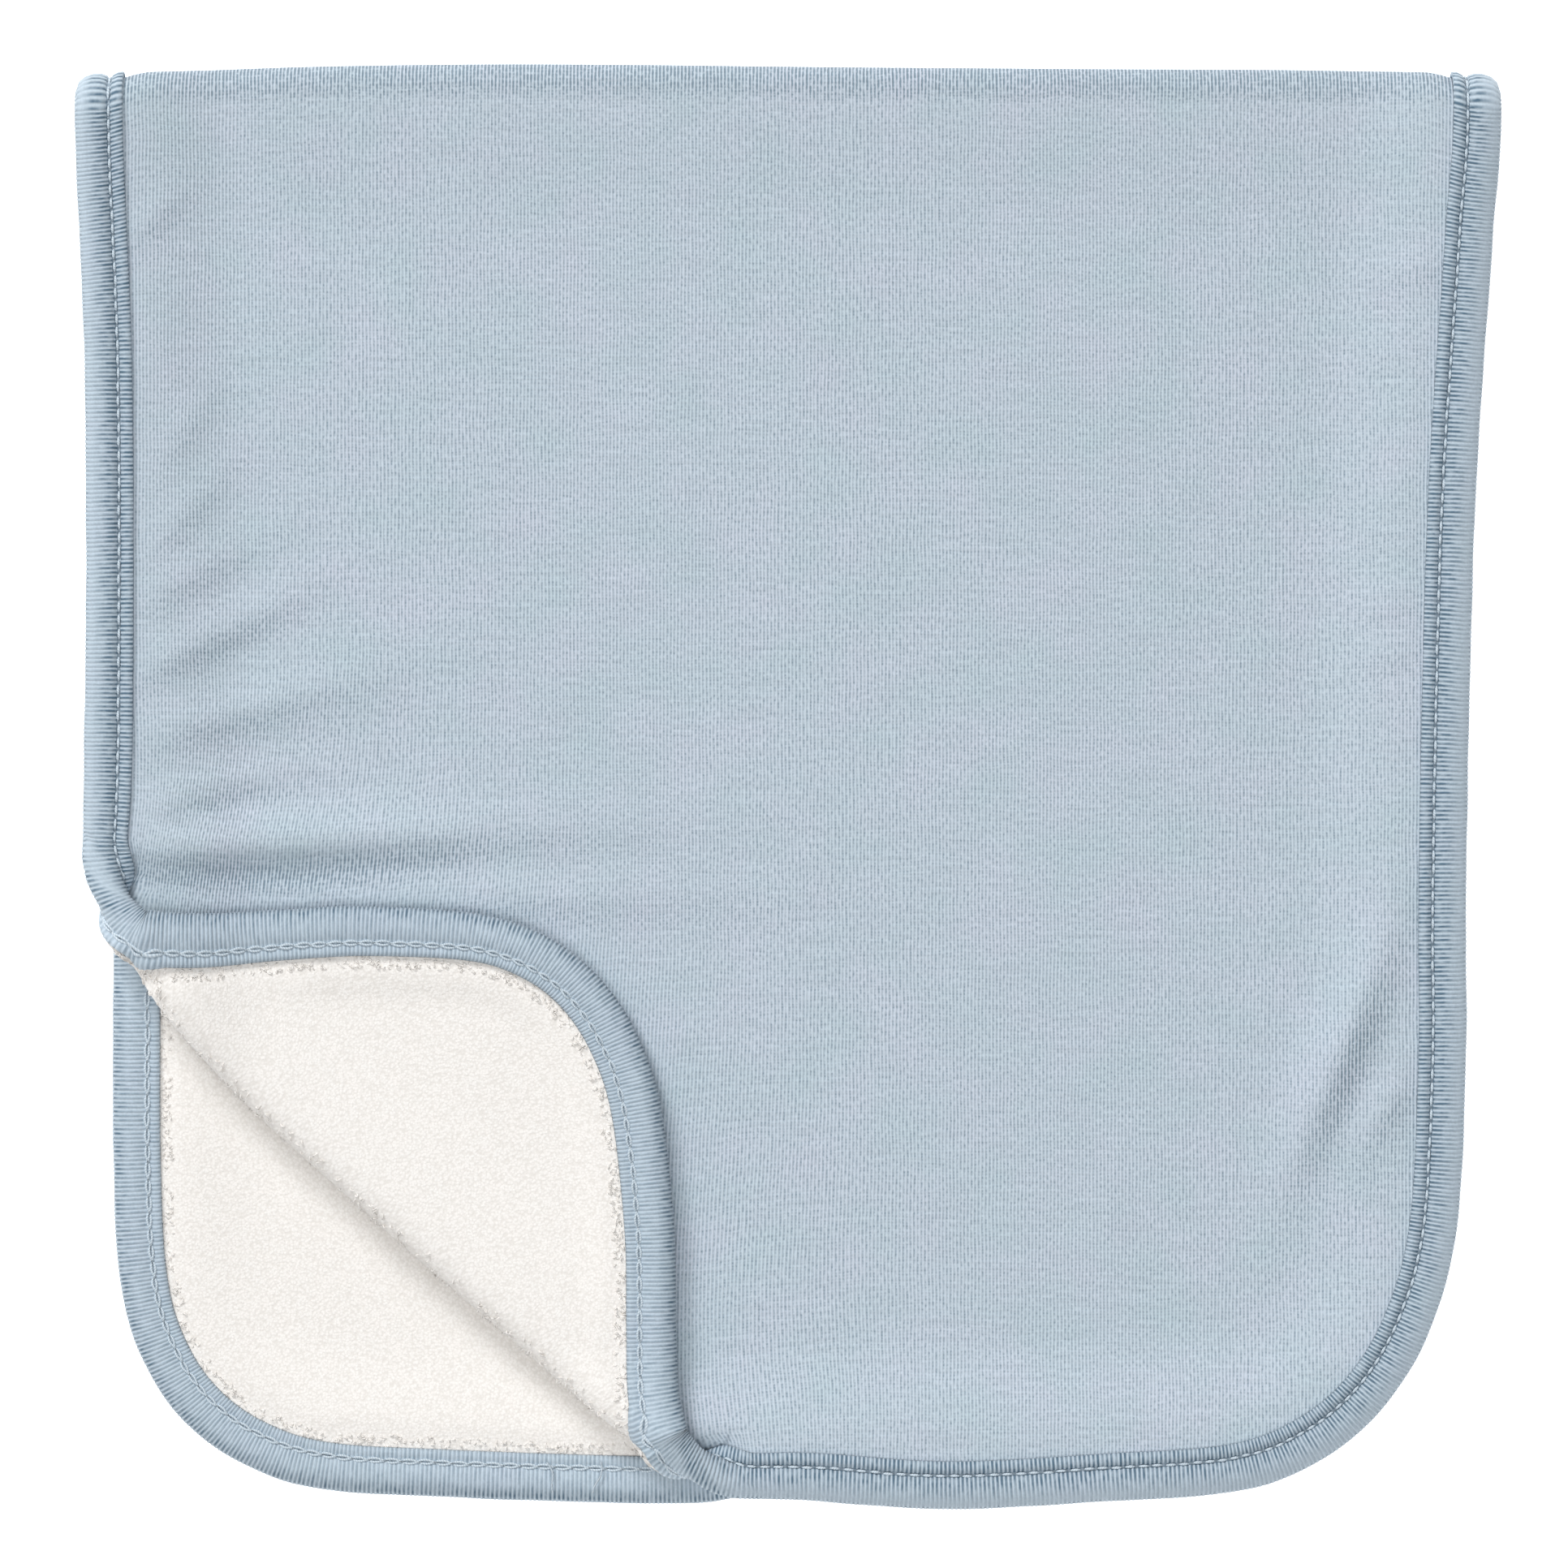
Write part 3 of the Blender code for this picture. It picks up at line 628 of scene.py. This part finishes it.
def make_binding(name, material):
    """The ribbed tape folded over the edge: its section carried round the outline, two steps a rib."""
    section = np.array([*TAPE_SIDE, TAPE_EDGE, *TAPE_REVERSE, *TAPE_INSIDE], float)
    ribs = round(ROUND / RIB)
    steps = 2 * ribs
    s = np.arange(steps) / steps * ROUND
    crest = np.where(np.arange(steps) % 2 == 0, 1.0, -1.0)
    full = uneven(s, *TAPE_FULL[:2]) * TAPE_FULL[2]
    lean = uneven(s, *TAPE_LEAN[:2]) * TAPE_LEAN[2]
    ahead = np.roll(section, -1, axis=0)[:, :2] - np.roll(section, 1, axis=0)[:, :2]
    ahead /= np.linalg.norm(ahead, axis=1)[:, None]
    outwards = np.stack([ahead[:, 1], -ahead[:, 0]], axis=1)
    if outwards[len(TAPE_SIDE), 0] > 0:
        outwards = -outwards
    length = np.concatenate([[0], np.cumsum(np.linalg.norm(np.diff(section[:, :2], axis=0), axis=1))])
    rings, places = [], []
    for (inset, w, rib), way, run in zip(section, outwards, length, strict=True):
        proud = rib * (RIB_DEPTH / 2 * crest + full)
        at = s + lean * (inset - 4)
        rings.append(fold_on_edge(at, inset + way[0] * proud, w + way[1] * proud))
        places.append(np.stack([s, np.full(steps, run)], axis=1))
    count = len(section)
    points = np.stack(rings, axis=1).reshape(-1, 3)
    faces, flat = [], []
    for i in range(steps):
        j = (i + 1) % steps
        ends = [s[i], s[i] + ROUND / steps]
        for k in range(count):
            m = (k + 1) % count
            faces.append((i * count + k, i * count + m, j * count + m, j * count + k))
            far = length[m] if m else length[k] + 2
            flat += [(ends[0], length[k]), (ends[0], far), (ends[1], far), (ends[1], length[k])]
    return add_piece(name, points, faces, np.array(flat), material)


def repeat_round(name, pattern, along, inset, w, material, jitter):
    """Copies of a small modelled mesh sewn round the edge, each bent with the cloth, as one piece."""
    places = np.array([v.co for v in pattern.data.vertices])
    faces = [list(f.vertices) for f in pattern.data.polygons]
    bpy.data.objects.remove(pattern)
    count = round(ROUND / along)
    random = np.random.default_rng(7)
    at = np.arange(count) * ROUND / count + random.normal(0, jitter[0], count)
    off = random.normal(0, jitter[1], count)
    side = math.copysign(1, w)
    s = (at[:, None] + places[None, :, 0]).ravel()
    into = (inset + off[:, None] + places[None, :, 1]).ravel()
    height = w + side * np.tile(places[:, 2], count)
    points = fold_on_edge(s, into, height)
    order = slice(None) if side > 0 else slice(None, None, -1)
    joined = [[i + k * len(places) for i in face[order]] for k in range(count) for face in faces]
    flat = np.stack([s, into], axis=1)
    return add_piece(name, points, joined, flat, material)


def face_stitch():
    """One stitch of the face side, lying along the seam with both ends pulled in, in mm."""
    bpy.ops.object.select_all(action="DESELECT")
    bpy.ops.mesh.primitive_uv_sphere_add(segments=8, ring_count=6, radius=1, location=(0, 0, 0))
    stitch = bpy.context.object
    for v in stitch.data.vertices:
        x, y, z = v.co
        # The sphere's poles become the stitch's ends
        v.co = (z * 0.98, y * 0.27, x * 0.2 + 0.1 - 0.3 * z * z)
    return stitch


def chain_link():
    """One link of the reverse side's chain stitch: two strands that part and meet again, in mm."""
    link = bmesh.new()
    sides, steps = 6, 8
    for way in (-1, 1):
        rings = []
        for k in range(steps + 1):
            t = k / steps
            across = way * 0.36 * math.sin(math.pi * min(t * 1.25, 1)) ** 0.8
            high = 0.12 + 0.16 * math.sin(math.pi * t) - 0.25 * (1 - t) ** 4
            ring = []
            for j in range(sides):
                turn = j / sides * 2 * math.pi
                out = 0.24 * (0.75 + 0.25 * math.sin(math.pi * t))
                place = (t * 3.7 - 1.8, across + out * math.cos(turn), high + out * math.sin(turn))
                ring.append(link.verts.new(place))
            rings.append(ring)
        for low, high_ring in zip(rings, rings[1:], strict=False):
            for j in range(sides):
                m = (j + 1) % sides
                link.faces.new((low[j], low[m], high_ring[m], high_ring[j]))
        link.faces.new(rings[0][::-1])
        link.faces.new(rings[-1])
    bmesh.ops.recalc_face_normals(link, faces=link.faces[:])
    mesh = bpy.data.meshes.new("chain_link")
    link.to_mesh(mesh)
    link.free()
    pattern = bpy.data.objects.new("chain_link", mesh)
    bpy.context.scene.collection.objects.link(pattern)
    return pattern


def add_strands(name, paths, thick, material):
    """Fine three-sided yarns along paths of flat places u, q and w, bent with the cloth, as one piece."""
    count, steps = paths.shape[:2]
    ahead = np.gradient(paths, axis=1)
    side = np.cross(ahead, (0.3, 0.2, 1.0))
    side /= np.linalg.norm(side, axis=2)[..., None]
    over = np.cross(side, ahead / np.linalg.norm(ahead, axis=2)[..., None])
    turns = np.arange(3)[:, None] / 3 * 2 * math.pi
    rings = paths[:, :, None] + thick * (np.cos(turns) * side[:, :, None] + np.sin(turns) * over[:, :, None])
    places = rings.reshape(-1, 3)
    u, q, w = places.T
    points = fold(u, q, w, edge_distance(u, q))
    faces = []
    for ring in range(count * steps):
        if (ring + 1) % steps:
            for j in range(3):
                k = (j + 1) % 3
                faces.append((ring * 3 + j, ring * 3 + 3 + j, ring * 3 + 3 + k, ring * 3 + k))
    return add_piece(name, points, faces, places[:, :2], material)


def pile_loops():
    """Paths of the terry's loops that stand out along its edges and its roll, where it shows."""
    random = np.random.default_rng(11)
    u, q = random.uniform((-126, -256), (2, 256), (LOOPS_TRIED, 2)).T
    r = edge_distance(u, q)
    on_front = q < 0
    past = crease_place(u, np.where(on_front, q, -q) + FRONT_SHIFT)[1]
    past_crease = past > LOOP_ROLL[0]
    shown = (r > LOOP_RIM[0]) & past_crease & (on_front | (q > REAR_SHOWN_FROM))
    on_crease = np.where(on_front & (past < LOOP_ROLL[1]), LOOP_SHARES[1], 0.0)
    share = np.where(r < LOOP_RIM[1], LOOP_SHARES[0], on_crease)
    kept = shown & (random.uniform(0, 1, len(u)) < share)
    u, q, r = u[kept], q[kept], r[kept]
    way = random.uniform(0, 2 * math.pi, len(u))
    lean = random.normal(0, LOOP_LEAN, (2, len(u)))
    tall = random.uniform(*LOOP_TALL, len(u))
    t = np.linspace(0, 1, 5)[None]
    arch = np.sin(math.pi * t) * tall[:, None]
    out = (t - 0.5) * LOOP_WIDE
    path_u = u[:, None] + out * np.cos(way)[:, None] + arch * lean[0][:, None]
    path_q = q[:, None] + out * np.sin(way)[:, None] + arch * lean[1][:, None]
    return np.stack([path_u, path_q, terry_outer(r)[:, None] + LOOP_SUNK - arch], axis=2)


def thread_tails():
    """Paths of the two loose thread ends where the sewing starts and stops, on the rear half's hem."""
    t = np.linspace(0, 1, 12)
    paths = []
    for u, lean in TAILS:
        path_u = u + lean * t + 0.5 * np.sin(5 * t)
        path_w = -3.15 - 0.4 * np.sin(math.pi * t)
        paths.append(np.stack([path_u, TAIL_START + TAIL_LENGTH * t, path_w], axis=1))
    return np.array(paths)


def linear(hex_colour):
    """An sRGB hex colour as linear RGBA."""
    shares = [int(hex_colour[i : i + 2], 16) / 255 for i in (0, 2, 4)]
    return [c / 12.92 if c <= 0.04045 else ((c + 0.055) / 1.055) ** 2.4 for c in shares] + [1.0]


def add_node(tree, kind, settings=None, sockets=None):
    """Adds a node, with its settings, and with values or other nodes' outputs in its sockets."""
    new = tree.nodes.new(kind)
    for name, value in (settings or {}).items():
        setattr(new, name, value)
    for name, value in (sockets or {}).items():
        if isinstance(value, bpy.types.NodeSocket):
            tree.links.new(value, new.inputs[name])
        else:
            new.inputs[name].default_value = value
    return new


def math_node(tree, operation, *values):
    """A math node of values or other nodes' outputs."""
    return add_node(tree, "ShaderNodeMath", {"operation": operation}, dict(enumerate(values)))


def ramp_node(tree, value, low, high, at_low, at_high):
    """A node that is at_low where value is low, at_high where it is high, and even between them."""
    sockets = dict(enumerate((value, low, high, at_low, at_high)))
    return add_node(tree, "ShaderNodeMapRange", None, sockets)


def cloth_material(name, roughness, sheen):
    """A matt cloth's material, with its node tree and its shader."""
    material = bpy.data.materials.new(name)
    material.use_nodes = True
    tree = material.node_tree
    shader = tree.nodes["Principled BSDF"]
    shader.inputs["Roughness"].default_value = roughness
    shader.inputs["Sheen Weight"].default_value = sheen
    shader.inputs["Sheen Roughness"].default_value = 0.5
    shader.inputs["Specular IOR Level"].default_value = 0.25
    return material, tree, shader


def jersey_material():
    """Fine single jersey of combed cotton: smooth columns of stitches with pinholes between them."""
    material, tree, shader = cloth_material("knitted_cotton_jersey", 0.9, 0.15)
    place = add_node(tree, "ShaderNodeUVMap", {"uv_map": "flat_mm"}).outputs[0]
    apart = add_node(tree, "ShaderNodeSeparateXYZ", None, {0: place})
    # Wales wander a very little sideways
    drift = add_node(tree, "ShaderNodeTexNoise", None, {"Vector": place, "Scale": 0.1, "Detail": 1.0})
    moved = math_node(tree, "MULTIPLY_ADD", drift.outputs[0], 0.5, apart.outputs[0])
    turn = math_node(tree, "MULTIPLY", moved.outputs[0], 2 * math.pi / WALE)
    wave = math_node(tree, "SINE", turn.outputs[0])
    wale = math_node(tree, "MULTIPLY_ADD", wave.outputs[0], 0.5, 0.5)
    # Pinholes between the wales, one at each course and some nearly closed
    lift = math_node(tree, "MULTIPLY_ADD", drift.outputs[0], 2.0, apart.outputs[1])
    step = math_node(tree, "MULTIPLY", lift.outputs[0], 2 * math.pi / COURSE)
    beat = math_node(tree, "SINE", step.outputs[0])
    course = math_node(tree, "MULTIPLY_ADD", beat.outputs[0], 0.14, 0.86)
    stretched = add_node(
        tree, "ShaderNodeVectorMath", {"operation": "MULTIPLY"}, {0: place, 1: (1.6, 1.3, 1.0)}
    )
    broken = add_node(
        tree, "ShaderNodeTexNoise", None, {"Vector": stretched.outputs[0], "Scale": 1.0, "Detail": 2.0}
    )
    open_share = ramp_node(tree, broken.outputs[0], 0.34, 0.66, 0.3, 1.0)
    valley = math_node(tree, "SUBTRACT", 1.0, wale.outputs[0])
    gap = math_node(tree, "MULTIPLY", valley.outputs[0], course.outputs[0])
    # The knit is stretched open round the main fold, so its gaps are wide and dark there
    from_fold = math_node(tree, "ABSOLUTE", apart.outputs[1])
    stretch = ramp_node(tree, from_fold.outputs[0], 7.0, 1.0, 1.0, 2.6)
    hole = math_node(tree, "MULTIPLY", gap.outputs[0], open_share.outputs[0])
    hole = math_node(tree, "MULTIPLY", hole.outputs[0], stretch.outputs[0])
    # Painted shade: on crease slopes facing away from the key light, the knit's gaps are widened and
    # darkened
    drawn = add_node(tree, "ShaderNodeAttribute", {"attribute_name": "painted_crease_shade"}).outputs["Fac"]
    shade_widened = math_node(tree, "MULTIPLY_ADD", drawn, 0.9, 1.0)
    hole = math_node(tree, "MULTIPLY", hole.outputs[0], shade_widened.outputs[0])
    # Slubs: faint light streaks along the courses, where the yarn is thicker
    wide = add_node(
        tree, "ShaderNodeVectorMath", {"operation": "MULTIPLY"}, {0: place, 1: (0.09, 1.7, 1.0)}
    )
    slub = add_node(
        tree, "ShaderNodeTexNoise", None, {"Vector": wide.outputs[0], "Scale": 1.0, "Detail": 3.0}
    )
    patch = add_node(tree, "ShaderNodeTexNoise", None, {"Vector": place, "Scale": 0.07, "Detail": 3.0})
    tint = add_node(
        tree, "ShaderNodeMix", {"data_type": "RGBA"},
        {0: patch.outputs[0], 6: linear("BFD4DA"), 7: linear("D3D7E6")},
    )
    shade = add_node(
        tree, "ShaderNodeMix", {"data_type": "RGBA"},
        {0: hole.outputs[0], 6: tint.outputs[2], 7: linear("8194A3")},
    )
    streak = ramp_node(tree, slub.outputs[0], 0.3, 0.7, 0.95, 1.045)
    colour = add_node(
        tree, "ShaderNodeVectorMath", {"operation": "SCALE"}, {0: shade.outputs[2], 3: streak.outputs[0]}
    )
    tree.links.new(colour.outputs[0], shader.inputs["Base Color"])
    relief = math_node(tree, "MULTIPLY_ADD", hole.outputs[0], -0.6, wale.outputs[0])
    relief = math_node(tree, "MULTIPLY_ADD", slub.outputs[0], 0.8, relief.outputs[0])
    bump = add_node(
        tree, "ShaderNodeBump", None, {"Height": relief.outputs[0], "Distance": 0.10 * MM, "Strength": 0.8}
    )
    tree.links.new(bump.outputs[0], shader.inputs["Normal"])
    return material


def terry_material():
    """Short looped terry: a soft even pile of tiny loops, each casting a speck of shade."""
    material, tree, shader = cloth_material("looped_cotton_terry", 1.0, 0.25)
    place = add_node(tree, "ShaderNodeUVMap", {"uv_map": "flat_mm"}).outputs[0]
    loops = add_node(
        tree, "ShaderNodeTexVoronoi", {"feature": "F1"}, {"Vector": place, "Scale": 2.1, "Randomness": 0.9}
    )
    fluff = add_node(
        tree, "ShaderNodeTexNoise", None, {"Vector": place, "Scale": 3.6, "Detail": 3.0, "Roughness": 0.6}
    )
    patch = add_node(tree, "ShaderNodeTexNoise", None, {"Vector": place, "Scale": 0.3, "Detail": 3.0})
    gap = ramp_node(tree, loops.outputs[0], 0.25, 0.85, 0.0, 1.0)
    speck = ramp_node(tree, fluff.outputs[0], 0.3, 0.5, 1.0, 0.0)
    dark = math_node(tree, "MULTIPLY_ADD", speck.outputs[0], 0.5, gap.outputs[0])
    tint = add_node(
        tree, "ShaderNodeMix", {"data_type": "RGBA"},
        {0: patch.outputs[0], 6: linear("F9F4F0"), 7: linear("F6F5F2")},
    )
    colour = add_node(
        tree, "ShaderNodeMix", {"data_type": "RGBA"},
        {0: dark.outputs[0], 6: tint.outputs[2], 7: linear("E7E3DE")},
    )
    tree.links.new(colour.outputs[2], shader.inputs["Base Color"])
    relief = math_node(tree, "SUBTRACT", fluff.outputs[0], gap.outputs[0])
    bump = add_node(
        tree, "ShaderNodeBump", None, {"Height": relief.outputs[0], "Distance": 0.09 * MM, "Strength": 0.6}
    )
    tree.links.new(bump.outputs[0], shader.inputs["Normal"])
    return material


def binding_material():
    """Jersey cut across as a tape, so that its stitch columns cross it as fine ribs."""
    material, tree, shader = cloth_material("ribbed_jersey_tape", 0.88, 0.15)
    place = add_node(tree, "ShaderNodeUVMap", {"uv_map": "flat_mm"}).outputs[0]
    apart = add_node(tree, "ShaderNodeSeparateXYZ", None, {0: place})
    pitch = ROUND / round(ROUND / RIB)
    turn = math_node(tree, "MULTIPLY", apart.outputs[0], 2 * math.pi / pitch)
    wave = math_node(tree, "COSINE", turn.outputs[0])
    rib = math_node(tree, "MULTIPLY_ADD", wave.outputs[0], 0.5, 0.5)
    valley = math_node(tree, "SUBTRACT", 1.0, rib.outputs[0])
    # Painted shade in the grooves: strong by the face side's stitching and on the reverse side's outer edge,
    # soft between
    inner = ramp_node(tree, apart.outputs[1], 9.2, 6.4, 0.0, 1.0)
    outer = ramp_node(tree, apart.outputs[1], 10.2, 12.0, 0.0, 0.9)
    # The painted groove shade is fainter further in on the reverse side
    fainter_on_reverse = ramp_node(tree, apart.outputs[1], 14.2, 16.6, 0.0, 0.6)
    groove_shade_strength = math_node(tree, "ADD", inner.outputs[0], outer.outputs[0])
    groove_shade_strength = math_node(tree, "SUBTRACT", groove_shade_strength.outputs[0], fainter_on_reverse.outputs[0])
    groove_shade_strength = math_node(tree, "ADD", groove_shade_strength.outputs[0], 0.35)
    # How dark each groove's painted shade is differs from rib to rib and along it too
    drawn = add_node(
        tree, "ShaderNodeVectorMath", {"operation": "MULTIPLY"}, {0: place, 1: (0.9, 0.45, 1.0)}
    )
    groove_shade_noise = add_node(
        tree, "ShaderNodeTexNoise", None, {"Vector": drawn.outputs[0], "Scale": 1.0, "Detail": 2.0}
    )
    groove_shade_share = ramp_node(tree, groove_shade_noise.outputs[0], 0.3, 0.7, 0.35, 1.0)
    groove_shade = math_node(tree, "MULTIPLY", valley.outputs[0], groove_shade_share.outputs[0])
    groove_shade = math_node(tree, "MULTIPLY", groove_shade.outputs[0], groove_shade_strength.outputs[0])
    yarn = add_node(tree, "ShaderNodeTexNoise", None, {"Vector": place, "Scale": 2.4, "Detail": 2.0})
    patch = add_node(tree, "ShaderNodeTexNoise", None, {"Vector": place, "Scale": 0.09, "Detail": 3.0})
    tint = add_node(
        tree, "ShaderNodeMix", {"data_type": "RGBA"},
        {0: patch.outputs[0], 6: linear("BFD0DA"), 7: linear("C3D0DE")},
    )
    # Painted shade: the grooves take a darker blue
    shade = add_node(
        tree, "ShaderNodeMix", {"data_type": "RGBA"},
        {0: groove_shade.outputs[0], 6: tint.outputs[2], 7: linear("587184")},
    )
    # The seam line: painted shade where the stitches pull the tape under, with a ragged edge
    ragged = add_node(
        tree, "ShaderNodeVectorMath", {"operation": "MULTIPLY"}, {0: place, 1: (1.5, 0.0, 1.0)}
    )
    teeth = add_node(
        tree, "ShaderNodeTexNoise", None, {"Vector": ragged.outputs[0], "Scale": 1.0, "Detail": 1.0}
    )
    shifted = math_node(tree, "MULTIPLY_ADD", teeth.outputs[0], 1.4, apart.outputs[1])
    off = math_node(tree, "SUBTRACT", shifted.outputs[0], 4.6)
    off = math_node(tree, "ABSOLUTE", off.outputs[0])
    seam_shade = ramp_node(tree, off.outputs[0], 0.35, 0.9, 0.7, 0.0)
    with_seam_shade = add_node(
        tree, "ShaderNodeMix", {"data_type": "RGBA"},
        {0: seam_shade.outputs[0], 6: shade.outputs[2], 7: linear("4B6577")},
    )
    fleck = ramp_node(tree, yarn.outputs[0], 0.3, 0.7, 0.95, 1.05)
    colour = add_node(
        tree, "ShaderNodeVectorMath", {"operation": "SCALE"}, {0: with_seam_shade.outputs[2], 3: fleck.outputs[0]}
    )
    tree.links.new(colour.outputs[0], shader.inputs["Base Color"])
    relief = math_node(tree, "MULTIPLY_ADD", yarn.outputs[0], 0.4, rib.outputs[0])
    bump = add_node(
        tree, "ShaderNodeBump", None, {"Height": relief.outputs[0], "Distance": 0.14 * MM, "Strength": 0.9}
    )
    tree.links.new(bump.outputs[0], shader.inputs["Normal"])
    return material


def thread_material():
    """Spun polyester sewing thread, twisted, a little paler and glossier than the knit."""
    material, tree, shader = cloth_material("spun_sewing_thread", 0.7, 0.1)
    place = add_node(tree, "ShaderNodeUVMap", {"uv_map": "flat_mm"}).outputs[0]
    ply = add_node(
        tree, "ShaderNodeVectorMath", {"operation": "DOT_PRODUCT"}, {0: place, 1: (14.0, 9.0, 0.0)}
    )
    wave = math_node(tree, "SINE", ply.outputs[1])
    twist = math_node(tree, "MULTIPLY_ADD", wave.outputs[0], 0.5, 0.5)
    colour = add_node(
        tree, "ShaderNodeMix", {"data_type": "RGBA"},
        {0: twist.outputs[0], 6: linear("B4C4D0"), 7: linear("D3DEE6")},
    )
    tree.links.new(colour.outputs[2], shader.inputs["Base Color"])
    bump = add_node(
        tree, "ShaderNodeBump", None, {"Height": twist.outputs[0], "Distance": 0.05 * MM, "Strength": 0.8}
    )
    tree.links.new(bump.outputs[0], shader.inputs["Normal"])
    return material


def floor_material():
    """A white lightbox floor: matt board, lit a little from below so that no shadow shows on it."""
    material, tree, shader = cloth_material("white_board", 0.9, 0.0)
    place = add_node(tree, "ShaderNodeTexCoord").outputs["Object"]
    grain = add_node(tree, "ShaderNodeTexNoise", None, {"Vector": place, "Scale": 900.0, "Detail": 2.0})
    colour = add_node(
        tree, "ShaderNodeMix", {"data_type": "RGBA"},
        {0: grain.outputs[0], 6: linear("FAFAFA"), 7: linear("FFFFFF")},
    )
    tree.links.new(colour.outputs[2], shader.inputs["Base Color"])
    shader.inputs["Emission Color"].default_value = (1, 1, 1, 1)
    shader.inputs["Emission Strength"].default_value = FLOOR_GLOW
    return material


def add_light(name, place, aim, size, power):
    """A square lamp at a place, aimed at another, so wide in metres and of so many watts."""
    lamp = bpy.data.lights.new(name, "AREA")
    lamp.size = size
    lamp.energy = power
    light = bpy.data.objects.new(name, lamp)
    light.location = place
    light.rotation_euler = (Vector(aim) - Vector(place)).to_track_quat("-Z", "Y").to_euler()
    bpy.context.scene.collection.objects.link(light)


def make_studio():
    """A pale floor, soft light from all round with more from the upper left, and the camera."""
    bpy.ops.object.select_all(action="DESELECT")
    bpy.ops.mesh.primitive_plane_add(size=6, location=(0, 0, 0))
    floor = bpy.context.object
    floor.name = "floor"
    floor.data.materials.append(floor_material())

    world = bpy.data.worlds.new("studio")
    world.use_nodes = True
    world.node_tree.nodes["Background"].inputs[0].default_value = (1, 1, 1, 1)
    world.node_tree.nodes["Background"].inputs[1].default_value = ALL_ROUND
    bpy.context.scene.world = world
    add_light("softbox", (-1.29, 2.25, 1.88), (0, 0, 0), 1.0, 63)
    add_light("overhead", (0.0, -0.4, 1.6), (0.0, -0.4, 0), 0.8, 11.2)

    # The camera looks straight down
    lens = bpy.data.cameras.new("camera")
    lens.lens = lens.sensor_width * (CAMERA_HEIGHT - FACE_HEIGHT) / PICTURE_WIDTH
    camera = bpy.data.objects.new("camera", lens)
    camera.location = (-0.67 * MM, 0.2 * MM, CAMERA_HEIGHT * MM)
    bpy.context.scene.collection.objects.link(camera)
    bpy.context.scene.camera = camera
    bpy.context.scene.view_settings.view_transform = "Standard"


def main():
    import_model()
    grid = flat_grid()
    jersey = make_sheet(
        "jersey_cloth", grid, lambda r: np.full(len(r), JERSEY_OUT), lambda r: np.full(len(r), SEAM_GAP / 2),
        jersey_material(),
    )
    # Painted shade on the crease slopes that face away from the key light, for the jersey's material
    crease_shade = jersey.data.attributes.new("painted_crease_shade", "FLOAT", "POINT")
    crease_shade.data.foreach_set("value", np.tile(painted_crease_shade(*grid[0].T), 2).astype(np.float32))
    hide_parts("jersey_panel")
    looped = terry_material()
    terry = make_sheet(
        "terry_cloth", grid, lambda r: np.full(len(r), -SEAM_GAP / 2), terry_outer, looped,
    )
    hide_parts("terry_panel")
    binding = make_binding("binding_tape", binding_material())
    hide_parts("edge_binding")
    thread = thread_material()
    stitches = repeat_round(
        "face_stitches", face_stitch(), STITCH, STITCH_IN, STITCH_HEIGHT, thread, (0.06, 0.05),
    )
    chain = repeat_round(
        "chain_stitches", chain_link(), LINK, STITCH_IN + 0.2, LINK_HEIGHT, thread, (0.05, 0.04),
    )
    loops = add_strands("terry_loops", pile_loops(), LOOP_RADIUS, looped)
    tails = add_strands("thread_tails", thread_tails(), TAIL_RADIUS, thread)
    make_studio()


main()
